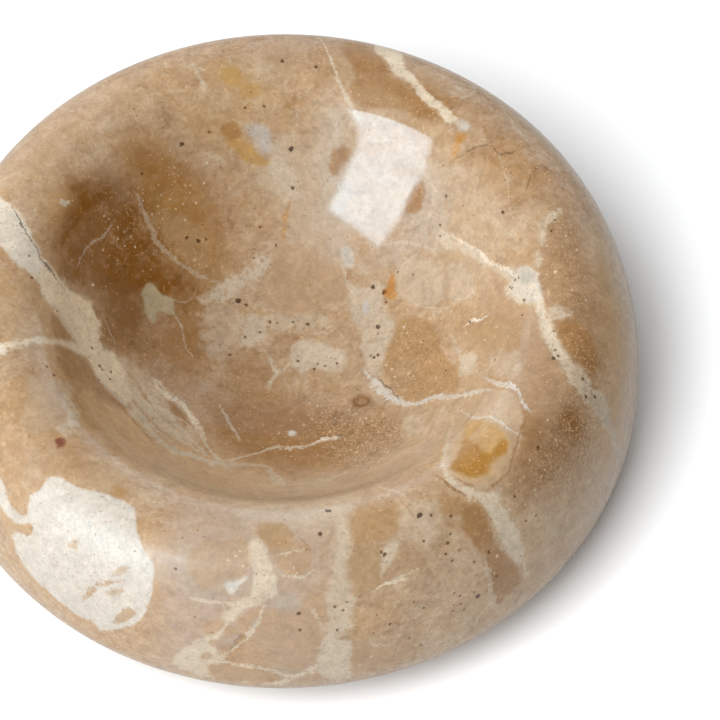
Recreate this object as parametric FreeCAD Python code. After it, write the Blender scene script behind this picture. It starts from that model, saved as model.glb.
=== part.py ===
import FreeCAD, Part
import math
import os

# Ring dish turned from one block of stone, standing on small felt pads.
# Millimetres, +Z up, origin on the surface it stands on, under the middle of the dish.

# stone dish
outer_diameter = 120.0  # across the belly
stone_height = 44.0  # flat foot to the crest of the rim
belly_height = 19.0  # widest level, above the flat foot
rim_shoulder = 12.0  # belly line in to the crest, seen from above
lip_radius = 12.0  # round of the rim where it rolls into the hollow
floor_thickness = 16.0  # stone left under the middle of the hollow
foot_diameter = 64.0  # flat ground underside
foot_edge_radius = 1.5  # eased edge round the flat underside

# How far each outside curve runs straight before it turns, as shares of its own width and rise.
crest_reach_share = 0.68
shoulder_reach_share = 0.55
belly_reach_share = 0.6
foot_reach_share = 0.5
foot_lift_share = 0.12

# felt pads
pad_count = 4
pad_diameter = 12.0
pad_thickness = 1.5
pad_edge_radius = 0.4  # worn lower edge
pad_inset = 4.0  # foot edge to the pad's edge

outer_radius = outer_diameter / 2
crest_radius = outer_radius - rim_shoulder
foot_radius = foot_diameter / 2
foot_level = pad_thickness
belly_level = foot_level + belly_height
crest_level = foot_level + stone_height
floor_level = foot_level + floor_thickness
pad_circle_radius = foot_radius - pad_inset - pad_diameter / 2


def point(radius, level):
    return FreeCAD.Vector(radius, 0, level)


def bezier(*poles):
    curve = Part.BezierCurve()
    curve.setPoles(list(poles))
    return curve.toShape()


# Below the belly the side draws in to the flat foot.
def lower_side():
    width = outer_radius - foot_radius
    return bezier(
        point(foot_radius, foot_level),
        point(foot_radius + foot_reach_share * width, foot_level + foot_lift_share * belly_height),
        point(outer_radius, belly_level - belly_reach_share * belly_height),
        point(outer_radius, belly_level),
    )


# Above the belly the side closes in over a full shoulder to the crest.
def upper_side():
    rise = crest_level - belly_level
    return bezier(
        point(outer_radius, belly_level),
        point(outer_radius, belly_level + shoulder_reach_share * rise),
        point(crest_radius + crest_reach_share * rim_shoulder, crest_level),
        point(crest_radius, crest_level),
    )


# The lip is one arc from the crest, and the hollow is a ball shape that meets it in line.
def lip_and_hollow():
    depth = crest_level - floor_level
    lip_level = crest_level - lip_radius
    lip_drop = lip_level - floor_level
    ball_radius = (crest_radius**2 + lip_drop**2 - lip_radius**2) / (2 * depth)
    ball_level = floor_level + ball_radius
    slope = math.atan2(crest_radius, ball_level - lip_level)  # of the wall where the two arcs meet

    def on_lip(tilt):
        return point(crest_radius - lip_radius * math.sin(tilt), lip_level + lip_radius * math.cos(tilt))

    def on_ball(tilt):
        return point(ball_radius * math.sin(tilt), ball_level - ball_radius * math.cos(tilt))

    lip = Part.Arc(on_lip(0), on_lip(slope / 2), on_lip(slope)).toShape()
    hollow = Part.Arc(on_ball(slope), on_ball(slope / 2), on_ball(0)).toShape()
    print("hollow: ball radius %.2f, steepest wall %.1f degrees" % (ball_radius, math.degrees(slope)))
    return [lip, hollow]


def make_stone_dish():
    foot_middle = point(0, foot_level)
    flat_foot = Part.makeLine(foot_middle, point(foot_radius, foot_level))
    axis_line = Part.makeLine(point(0, floor_level), foot_middle)
    edges = [flat_foot, lower_side(), upper_side(), *lip_and_hollow(), axis_line]
    half_section = Part.Face(Part.Wire(edges))
    dish = half_section.revolve(FreeCAD.Vector(), FreeCAD.Vector(0, 0, 1), 360)
    rims = [e for e in dish.Edges if e.Closed and e.BoundBox.ZMax - foot_level < foot_edge_radius]
    return dish.makeFillet(foot_edge_radius, rims)


# Each pad is a disc of felt stuck face to face on the flat foot.
def make_felt_pad(index):
    angle = 2 * math.pi * (index + 0.5) / pad_count
    x = pad_circle_radius * math.cos(angle)
    y = pad_circle_radius * math.sin(angle)
    disc = Part.makeCylinder(pad_diameter / 2, pad_thickness, FreeCAD.Vector(x, y, 0))
    worn = [e for e in disc.Edges if e.Closed and e.BoundBox.ZMax < pad_thickness / 2]
    return disc.makeFillet(pad_edge_radius, worn)


pieces = {"stone_dish": make_stone_dish()}
for index in range(pad_count):
    pieces["felt_pad_%d" % (index + 1)] = make_felt_pad(index)

os.makedirs("parts", exist_ok=True)
for name, shape in pieces.items():
    shape.exportStep("parts/%s.step" % name)
    print("%s: volume %.1f mm3, valid %s" % (name, shape.Volume, shape.isValid()))
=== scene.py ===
import bpy
import math
import numpy as np
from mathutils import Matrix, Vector, noise
from mathutils.bvhtree import BVHTree


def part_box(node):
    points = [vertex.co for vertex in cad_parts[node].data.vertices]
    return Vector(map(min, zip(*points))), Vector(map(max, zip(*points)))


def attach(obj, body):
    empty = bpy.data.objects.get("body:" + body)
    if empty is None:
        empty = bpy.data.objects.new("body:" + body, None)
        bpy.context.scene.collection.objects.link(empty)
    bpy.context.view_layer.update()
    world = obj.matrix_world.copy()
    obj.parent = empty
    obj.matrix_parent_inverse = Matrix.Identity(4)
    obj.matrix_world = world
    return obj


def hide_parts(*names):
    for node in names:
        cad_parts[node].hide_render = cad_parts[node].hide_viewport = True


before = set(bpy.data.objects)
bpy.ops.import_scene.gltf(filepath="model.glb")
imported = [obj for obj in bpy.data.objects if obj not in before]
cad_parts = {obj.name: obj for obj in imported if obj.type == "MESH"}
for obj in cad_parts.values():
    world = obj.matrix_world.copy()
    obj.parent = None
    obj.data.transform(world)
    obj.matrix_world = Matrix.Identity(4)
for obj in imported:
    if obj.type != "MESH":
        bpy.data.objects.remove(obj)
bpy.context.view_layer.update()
dishLow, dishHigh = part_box("stone_dish")
dishRadius = (dishHigh.x - dishLow.x) / 2
print("frame loaded, dish radius", round(dishRadius, 4))


# view of the photograph

view = {
    "elevation": 57.0,  # degrees above the table
    "distance": 0.75,  # metres to the middle of the belly
    "frameSide": 720,  # pixels
    "bellyMiddle": (284.0, 368.5),  # pixel of the middle of the widest ring
    "bellyHalf": 354.1,  # pixels from there to the side of the dish
    "bellyLevel": 0.019,  # of the widest ring above the flat foot
    "sensor": 36.0,  # millimetres
}


class PhotoView:
    def __init__(self, settings):
        tilt = math.radians(settings["elevation"])
        self.right = Vector((1, 0, 0))
        self.back = Vector((0, -math.cos(tilt), math.sin(tilt)))
        self.up = Vector((0, math.sin(tilt), math.cos(tilt)))
        self.side = settings["frameSide"]
        self.focal = settings["bellyHalf"] * settings["distance"] / dishRadius  # in pixels
        middle = Vector((0, 0, dishLow.z + settings["bellyLevel"]))
        perPixel = settings["distance"] / self.focal
        x, y = settings["bellyMiddle"]
        shift = self.right * (x - self.side / 2) - self.up * (y - self.side / 2)
        self.place = middle + self.back * settings["distance"] - shift * perPixel
        self.perPixel = perPixel  # metres that one pixel spans at the dish

    def ray(self, x, y):
        across = self.right * (x - self.side / 2) - self.up * (y - self.side / 2)
        return (across / self.focal - self.back).normalized()

    def addCamera(self, settings):
        data = bpy.data.cameras.new("camera")
        data.sensor_width = settings["sensor"]
        data.lens = self.focal / self.side * settings["sensor"]
        data.clip_end = 20  # metres
        camera = bpy.data.objects.new("camera", data)
        camera.location = self.place
        camera.rotation_euler = self.back.to_track_quat("Z", "Y").to_euler()
        bpy.context.scene.collection.objects.link(camera)
        bpy.context.scene.camera = camera


photo = PhotoView(view)
photo.addCamera(view)
print("camera set, one pixel is", round(photo.perPixel * 1000, 4), "mm")


# shader maths

def srgb(r, g, b):  # a colour as seen on screen, 0 to 255, made linear
    parts = [c / 255 for c in (r, g, b)]
    return tuple(c / 12.92 if c <= 0.04045 else ((c + 0.055) / 1.055) ** 2.4 for c in parts) + (1.0,)


class Value:  # wraps a socket, so that expressions on it add Math nodes
    def __init__(self, finish, socket):
        self.finish, self.socket = finish, socket

    def math(self, operation, *others):
        return self.finish.node("ShaderNodeMath", {"operation": operation}, dict(enumerate([self, *others])))

    def __add__(self, other):
        return self.math("ADD", other)

    def __sub__(self, other):
        return self.math("SUBTRACT", other)

    def __rsub__(self, other):
        return self.finish.node("ShaderNodeMath", {"operation": "SUBTRACT"}, {0: other, 1: self})

    def __mul__(self, other):
        return self.math("MULTIPLY", other)

    def __neg__(self):
        return self.math("MULTIPLY", -1.0)

    def __abs__(self):
        return self.math("ABSOLUTE")

    __radd__ = __add__
    __rmul__ = __mul__

    def least(self, other):
        return self.math("MINIMUM", other)

    def most(self, other):
        return self.math("MAXIMUM", other)

    def ramp(self, low, high, toLow=0.0, toHigh=1.0, shape="SMOOTHSTEP"):
        ends = {"Value": self, "From Min": low, "From Max": high, "To Min": toLow, "To Max": toHigh}
        return self.finish.node("ShaderNodeMapRange", {"interpolation_type": shape}, ends)

    def inside(self, soft):  # 1 where a distance is below 0, with a soft edge
        return self.ramp(-soft, soft, 1.0, 0.0)


class Finish:  # one tree of shader nodes
    def __init__(self, owner):  # a new material's name, or a tree
        if isinstance(owner, str):
            self.material = bpy.data.materials.new(owner)
            self.material.use_nodes = True
            owner = self.material.node_tree
            owner.nodes.clear()
        self.tree = owner

    def node(self, kind, settings=None, inputs=None, output=0):
        made = self.tree.nodes.new(kind)
        for name, setting in (settings or {}).items():
            if name in ("stops", "steps"):  # of a colour ramp, blended or not
                made.color_ramp.interpolation = "LINEAR" if name == "stops" else "CONSTANT"
                while len(made.color_ramp.elements) < len(setting):
                    made.color_ramp.elements.new(1.0)
                for element, (place, colour) in zip(made.color_ramp.elements, setting):
                    element.position = place
                    element.color = colour
            else:
                setattr(made, name, setting)
        for name, given in (inputs or {}).items():
            if isinstance(given, Value):
                self.tree.links.new(given.socket, made.inputs[name])
            else:
                made.inputs[name].default_value = given
        return Value(self, made.outputs[output]) if made.outputs else None

    def millimetres(self):  # place on the piece
        return self.scaled(self.node("ShaderNodeTexCoord", {}, {}, "Object"), 1000.0)

    def vector(self, operation, *parts, output=0):
        return self.node("ShaderNodeVectorMath", {"operation": operation}, dict(enumerate(parts)), output)

    def scaled(self, place, factor):
        return self.node("ShaderNodeVectorMath", {"operation": "SCALE"}, {0: place, "Scale": factor})

    def noise(self, place, scale, detail=2.0, roughness=0.5, output=0):
        inputs = {"Vector": place, "Scale": scale, "Detail": detail, "Roughness": roughness}
        return self.node("ShaderNodeTexNoise", {}, inputs, output)

    def threads(self, place, scale, width, roughness, detail=4):  # thin lines where noise crosses its middle
        return abs(self.noise(place, scale, detail, roughness) - 0.5).ramp(0.0, width, 1.0, 0.0)

    def cells(self, place, scale, feature="F1", output="Distance"):
        inputs = {"Vector": place, "Scale": scale}
        return self.node("ShaderNodeTexVoronoi", {"feature": feature}, inputs, output)

    def mix(self, factor, first, second):
        return self.node("ShaderNodeMix", {"data_type": "RGBA"}, {0: factor, 6: first, 7: second}, 2)

    def attribute(self, name, output="Vector"):
        return self.node("ShaderNodeAttribute", {"attribute_name": name}, {}, output)

    def parts(self, given, kind="XYZ"):  # of a place, or of a colour
        made = self.node("ShaderNodeSeparate" + kind, {}, {0: given})
        return [Value(self, out) for out in made.socket.node.outputs]

    def tone(self, number):  # colour and raggedness of a numbered tone
        made = self.node("ShaderNodeGroup", {"node_tree": toneTable}, {0: number})
        return [Value(self, out) for out in made.socket.node.outputs]

    def ray(self, kind):  # 1 for rays of this kind, 0 for others
        return self.node("ShaderNodeLightPath", {}, {}, f"Is {kind} Ray")

    def byRay(self, matt, gloss, seen):  # one shader for matt light, one for polish, one for the camera
        shown = self.ray("Camera").most(self.ray("Transmission"))  # straight, or through something clear
        unseen = self.node("ShaderNodeMixShader", {}, {0: self.ray("Glossy"), 1: matt, 2: gloss})
        return self.node("ShaderNodeMixShader", {}, {0: shown, 1: unseen, 2: seen})

    def surface(self, inputs):
        shader = self.node("ShaderNodeBsdfPrincipled", {}, inputs)
        self.node("ShaderNodeOutputMaterial", {}, {"Surface": shader})


# stone dish: shape

stone = {
    "sides": 440,  # round the axis
    "ringStep": 0.0007,  # between rings, along the profile
    "rimShoulder": 0.012,  # belly in to the crest
    "lipRadius": 0.012,
    "floorThickness": 0.016,
    "footRadius": 0.032,
    "crestReachShare": 0.68,
    "shoulderReachShare": 0.55,
    "bellyReachShare": 0.6,
    "footReachShare": 0.5,
    "footLiftShare": 0.12,
    "polish": 0.002,  # how far hand polishing blends one curve into the next
    "curvePoints": 400,  # on each outer curve before it is blended
    "lipPoints": 300,
    "hollowPoints": 600,
    "fineStep": 0.00005,  # between points while it is blended
}


def bezier(count, *corners):
    t = np.linspace(0, 1, count)[:, None]
    start, first, second, end = (np.array(p) for p in corners)
    return (1 - t) ** 3 * start + 3 * t * (1 - t) ** 2 * first + 3 * t * t * (1 - t) * second + t**3 * end


def spaced(line, step):  # the same line with evenly spaced points
    along = np.r_[0, np.cumsum(np.linalg.norm(np.diff(line, axis=0), axis=1))]
    even = np.linspace(0, along[-1], int(round(along[-1] / step)) + 1)
    return np.stack([np.interp(even, along, line[:, i]) for i in range(line.shape[1])], 1)


def blended(line, reach, step):  # rounds off kinks and jumps of curvature
    n = int(4 * reach / step)  # four reaches to each side
    weights = np.exp(-0.5 * (np.arange(-n, n + 1) * step / reach) ** 2)
    weights /= weights.sum()
    radius = np.pad(line[:, 0], n, mode="reflect", reflect_type="odd")
    level = np.pad(line[:, 1], n, mode="reflect")
    return np.stack([np.convolve(v, weights, mode="valid") for v in (radius, level)], 1)


def dishProfile(s):
    foot, crest = dishLow.z, dishHigh.z
    belly = foot + view["bellyLevel"]
    crestRadius = dishRadius - s["rimShoulder"]
    width = dishRadius - s["footRadius"]
    lower = bezier(
        s["curvePoints"],
        (s["footRadius"], foot),
        (s["footRadius"] + s["footReachShare"] * width, foot + s["footLiftShare"] * (belly - foot)),
        (dishRadius, belly - s["bellyReachShare"] * (belly - foot)),
        (dishRadius, belly),
    )
    upper = bezier(
        s["curvePoints"],
        (dishRadius, belly),
        (dishRadius, belly + s["shoulderReachShare"] * (crest - belly)),
        (crestRadius + s["crestReachShare"] * s["rimShoulder"], crest),
        (crestRadius, crest),
    )
    floor = foot + s["floorThickness"]
    lipLevel = crest - s["lipRadius"]
    ball = (crestRadius**2 + (lipLevel - floor) ** 2 - s["lipRadius"] ** 2) / (2 * (crest - floor))
    slope = math.atan2(crestRadius, floor + ball - lipLevel)
    t = np.linspace(0, slope, s["lipPoints"])[1:]
    lip = np.stack([crestRadius - s["lipRadius"] * np.sin(t), lipLevel + s["lipRadius"] * np.cos(t)], 1)
    t = np.linspace(slope, 0, s["hollowPoints"])[1:]
    hollow = np.stack([ball * np.sin(t), floor + ball - ball * np.cos(t)], 1)
    whole = np.vstack([[(0, foot)], lower, upper[1:], lip, hollow])
    fine = spaced(whole, s["fineStep"])
    rings = spaced(blended(fine, s["polish"], s["fineStep"]), s["ringStep"])
    rings[[0, -1], 0] = 0
    return rings


def turnedMesh(name, rings, sides):
    turn = np.arange(sides) * 2 * math.pi / sides
    inner = rings[1:-1]
    x = inner[:, :1] * np.cos(turn)
    y = inner[:, :1] * np.sin(turn)
    z = np.repeat(inner[:, 1:], sides, 1)
    around = np.stack([x, y, z], -1).reshape(-1, 3)
    points = np.vstack([[(0, 0, rings[0, 1])], around, [(0, 0, rings[-1, 1])]])
    last = len(points) - 1
    faces = []
    for i in range(sides):
        j = (i + 1) % sides
        faces.append((0, 1 + j, 1 + i))
        faces.append((last, last - sides + i, last - sides + j))
    for ring in range(len(inner) - 1):
        low, high = 1 + ring * sides, 1 + (ring + 1) * sides
        for i in range(sides):
            j = (i + 1) % sides
            faces.append((low + i, low + j, high + j, high + i))
    mesh = bpy.data.meshes.new(name)
    mesh.from_pydata(points.tolist(), [], faces)
    mesh.shade_smooth()
    return mesh


rings = dishProfile(stone)
dishMesh = turnedMesh("stoneDish", rings, stone["sides"])
dish = bpy.data.objects.new("stoneDish", dishMesh)
bpy.context.scene.collection.objects.link(dish)
print("stone dish turned,", len(dishMesh.polygons), "faces")


# stone dish: veining

tones = {  # the stone's own colours, and a rosy one that paints sheen
    "ground": (187, 157, 124),
    "milk": (233, 222, 204),
    "white": (207, 199, 187),
    "vein": (222, 206, 180),
    "cream": (206, 191, 168),
    "pale": (199, 183, 160),
    "cement": (203, 187, 164),
    "peach": (196, 175, 150),
    "buff": (190, 167, 140),
    "straw": (212, 176, 133),
    "dusk": (150, 117, 84),
    "tan": (180, 150, 118),
    "brown": (156, 115, 71),
    "deep": (132, 86, 33),
    "gold": (174, 143, 106),
    "ochre": (163, 119, 62),
    "orange": (190, 134, 62),
    "grey": (178, 170, 156),
    "olive": (180, 164, 132),
    "warmGrey": (230, 211, 178),
    "crystal": (194, 188, 180),
    "dark": (60, 36, 16),
    "red": (118, 58, 46),
    "ember": (188, 128, 54),
    "rust": (170, 134, 92),
    "amber": (186, 148, 93),
    "yolk": (162, 115, 48),
    "umber": (96, 64, 34),
    # painted sheen: the pinkish white of a reflection on the near rim
    "rosy": (182, 161, 142),
    "golden": (190, 153, 108),
}
ragged = {  # millimetres that an edge of this tone swings
    "cement": 2.4,
    "pale": 1.6,
    "warmGrey": 1.4,
    "cream": 1.0,
    "vein": 0.8,
    "milk": 0.7,
    "white": 0.5,
}
otherRagged, mostRagged = 0.6, 4.0
toneNames = list(tones)


def addToneTable():  # gives the colour and raggedness of a numbered tone
    steps = []
    for index, name in enumerate(toneNames):
        swing = ragged.get(name, otherRagged) / mostRagged
        steps.append((index / len(toneNames), (*srgb(*tones[name])[:3], swing)))
    group = bpy.data.node_groups.new("toneTable", "ShaderNodeTree")
    group.interface.new_socket("number", in_out="INPUT", socket_type="NodeSocketFloat")
    group.interface.new_socket("colour", in_out="OUTPUT", socket_type="NodeSocketColor")
    group.interface.new_socket("ragged", in_out="OUTPUT", socket_type="NodeSocketFloat")
    finish = Finish(group)
    number = finish.node("NodeGroupInput")
    colour = finish.node("ShaderNodeValToRGB", {"steps": steps}, {0: number})
    swing = Value(finish, colour.socket.node.outputs["Alpha"])
    finish.node("NodeGroupOutput", {}, {"colour": colour, "ragged": swing})
    return group


toneTable = addToneTable()

# Soft stains in the ground, and painted shade, painted light and painted sheen laid the same way: tone,
# softness of the edge in mm, strength, pixels round the edge.
stainsAndPaintedLight = [
    # painted shade over the stone's own brown: the shaded upper left inner wall of the hollow made darker
    ("brown", 5.0, 0.75, [(130, 140), (160, 148), (200, 175), (222, 200), (222, 240), (215, 285),
        (212, 330), (200, 360), (180, 340), (176, 280), (160, 220), (132, 180)]),
    ("brown", 4.0, 0.65, [(100, 320), (140, 330), (190, 300), (206, 320), (204, 350), (196, 372),
        (190, 395), (165, 385), (140, 368), (112, 350)]),
    # painted shade over the stone's own colour: the shaded upper left inner wall made browner
    ("ochre", 4.0, 0.65, [(130, 150), (170, 155), (215, 225), (220, 260), (190, 270), (150, 250),
        (128, 190)]),
    # painted shade: the darkest part of the shaded left inner wall, at full strength
    ("deep", 3.5, 1.0, [(66, 185), (90, 177), (115, 181), (130, 190), (146, 212), (156, 238), (167, 260),
        (186, 275), (188, 292), (172, 302), (150, 302), (142, 330), (118, 345), (103, 340), (98, 305),
        (84, 290), (66, 268), (61, 228)]),
    # partly painted shade: the shaded near side of the hollow made browner, over a brown clast
    ("brown", 3.0, 0.95, [(205, 394), (250, 396), (300, 404), (340, 418), (345, 440), (330, 462),
        (290, 470), (255, 464), (228, 450), (212, 425)]),
    ("brown", 3.0, 0.45, [(228, 350), (262, 352), (280, 380), (270, 400), (235, 396), (220, 372)]),
    ("dusk", 4.0, 0.8, [(510, 388), (530, 372), (560, 368), (585, 402), (594, 436), (580, 470), (556, 488),
        (530, 492), (516, 466), (518, 430)]),
    # partly painted shade: the shaded near side of the hollow made darker, over the stone's own tone
    ("dusk", 3.0, 0.55, [(335, 415), (360, 408), (395, 412), (412, 430), (395, 455), (365, 470), (340, 468),
        (330, 440)]),
    ("brown", 3.5, 0.5, [(497, 388), (520, 382), (532, 420), (535, 470), (525, 500), (505, 480),
        (510, 440)]),
    ("dusk", 4.0, 0.8, [(545, 228), (570, 222), (592, 258), (600, 320), (598, 380), (592, 410), (575, 385),
        (560, 350), (556, 320), (548, 290), (544, 258)]),
    ("tan", 4.0, 0.5, [(-10, 425), (30, 428), (75, 436), (98, 452), (92, 470), (60, 470), (20, 488),
        (-10, 490)]),
    ("ochre", 4.0, 0.35, [(40, 400), (75, 395), (95, 430), (95, 465), (60, 470), (45, 440)]),
    ("tan", 4.0, 0.95, [(492, 290), (530, 300), (560, 330), (580, 380), (560, 400), (520, 400), (502, 370),
        (490, 330)]),
    # partly painted sheen: the pinkish white reflection on the near rim, and a darker, greyer tone of the
    # stone there
    ("rosy", 5.0, 0.85, [(180, 515), (240, 512), (310, 508), (335, 530), (318, 600), (320, 660), (260, 690),
        (190, 680), (160, 620), (165, 550)]),
    # painted sheen: the pale reflection just past the near lip
    ("pale", 3.0, 0.6, [(225, 488), (290, 490), (345, 484), (352, 505), (330, 525), (280, 522),
        (240, 512)]),
    ("rust", 4.0, 0.8, [(40, 382), (75, 385), (90, 408), (82, 436), (45, 430), (35, 405)]),
    ("golden", 5.0, 0.5, [(0, 290), (30, 290), (50, 310), (55, 335), (20, 335), (-5, 335)]),
    # painted light: the near inner wall lightened where more light falls on it
    ("peach", 3.0, 0.75, [(142, 440), (170, 455), (200, 474), (240, 486), (290, 490), (340, 484),
        (375, 468), (400, 450), (398, 470), (352, 496), (290, 503), (230, 499), (180, 484), (150, 462)]),
    # painted light: the lit far right wall of the hollow made paler
    ("pale", 4.0, 0.35, [(418, 168), (455, 170), (490, 186), (505, 222), (500, 262), (470, 300), (440, 262),
        (424, 235)]),
    ("pale", 4.0, 0.25, [(400, 405), (430, 402), (455, 400), (470, 398), (452, 420), (430, 440), (410, 445),
        (402, 425)]),
    ("pale", 4.0, 0.5, [(262, 150), (300, 140), (325, 150), (330, 200), (315, 240), (285, 220),
        (262, 185)]),
    # painted reflection: the pale reflection beside the highlight on the far inner wall
    ("pale", 2.5, 0.6, [(318, 108), (345, 112), (350, 140), (348, 185), (335, 200), (322, 180),
        (318, 140)]),
    ("buff", 2.5, 0.6, [(290, 200), (330, 195), (336, 215), (350, 240), (340, 262), (318, 258), (300, 246),
        (286, 236)]),
    ("peach", 4.0, 0.3, [(425, 545), (470, 530), (530, 530), (548, 555), (515, 610), (450, 625),
        (420, 595)]),
    # painted light: the lower right of the rim lightened
    ("peach", 3.0, 0.2, [(545, 500), (590, 445), (612, 460), (604, 500), (575, 545), (548, 535)]),
    ("brown", 4.0, 0.45, [(466, 108), (505, 120), (545, 165), (548, 190), (515, 195), (490, 170),
        (465, 140)]),
    ("brown", 2.5, 0.8, [(405, 68), (430, 78), (458, 105), (440, 122), (412, 108)]),
    # painted light: the shaded inner side of the near left lip lightened
    ("straw", 3.0, 0.5, [(140, 436), (165, 430), (210, 452), (262, 470), (265, 496), (200, 484),
        (155, 462)]),
    # painted light: the right side of the dish lightened and warmed
    ("golden", 2.5, 0.85, [(592, 240), (606, 255), (622, 300), (628, 360), (622, 420), (606, 470),
        (600, 440), (606, 390), (606, 320)]),
    ("dusk", 3.0, 0.35, [(190, 56), (250, 42), (320, 40), (380, 50), (370, 66), (300, 62), (240, 64)]),
    ("dusk", 3.0, 0.45, [(535, 195), (560, 190), (585, 225), (580, 245), (555, 235)]),
    ("dusk", 3.5, 0.5, [(520, 338), (540, 332), (556, 362), (574, 394), (560, 405), (535, 395), (512, 376),
        (505, 355)]),
    ("tan", 3.5, 0.55, [(40, 142), (75, 105), (120, 78), (150, 70), (140, 95), (100, 115), (70, 140),
        (45, 162)]),
    ("grey", 3.0, 0.4, [(178, 555), (215, 548), (242, 560), (240, 590), (210, 600), (180, 585)]),
    ("dusk", 3.0, 0.45, [(94, 300), (120, 288), (150, 305), (142, 335), (118, 350), (100, 345)]),
    ("golden", 2.0, 0.6, [(40, 198), (60, 190), (70, 205), (66, 224), (52, 230)]),
    ("dusk", 3.0, 0.3, [(405, 478), (440, 470), (462, 492), (455, 520), (420, 515)]),
    ("dusk", 3.0, 0.4, [(543, 266), (560, 260), (573, 300), (568, 330), (554, 318), (546, 290)]),
    ("amber", 2.5, 0.5, [(215, 70), (240, 66), (264, 84), (262, 102), (232, 98)]),
    ("amber", 3.0, 0.35, [(190, 115), (225, 112), (242, 130), (226, 150), (195, 145)]),
    # painted reflection: a pale grey haze round the highlight on the far inner wall, in these two
    ("crystal", 3.0, 0.3, [(322, 135), (346, 112), (352, 180), (350, 240), (335, 264), (325, 240)]),
    ("crystal", 3.0, 0.35, [(405, 200), (436, 168), (450, 205), (440, 242), (400, 264), (365, 264),
        (385, 250)]),
    # painted shade: the shaded left lip of the hollow made darker
    ("deep", 2.5, 0.7, [(56, 225), (72, 215), (80, 260), (76, 285), (62, 272)]),
    ("tan", 4.0, 0.6, [(-8, 175), (15, 150), (45, 140), (60, 160), (30, 190), (0, 196)]),
    ("golden", 3.0, 0.5, [(40, 350), (60, 348), (90, 372), (80, 390), (40, 380)]),
    ("pale", 2.5, 0.35, [(588, 228), (612, 250), (622, 292), (612, 302), (598, 270)]),
]

# Places full of fine specks: strength, pixels round the edge.
speckled = [
    (1.0, [(308, 428), (318, 410), (350, 404), (392, 412), (408, 430), (398, 452), (372, 468), (340, 466),
        (318, 448)]),
    (0.9, [(556, 330), (585, 335), (606, 390), (600, 440), (590, 470), (550, 490), (530, 470), (548, 430),
        (556, 400), (566, 376)]),
    (0.6, [(396, 328), (415, 317), (436, 332), (456, 368), (455, 392), (415, 402), (390, 385), (386, 355)]),
    (0.45, [(100, 190), (150, 195), (170, 230), (165, 265), (130, 262), (105, 240)]),
    (0.5, [(540, 225), (570, 225), (596, 290), (596, 340), (560, 320), (548, 280)]),
    (0.4, [(440, 560), (480, 560), (500, 600), (460, 625), (430, 610)]),
]

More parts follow.
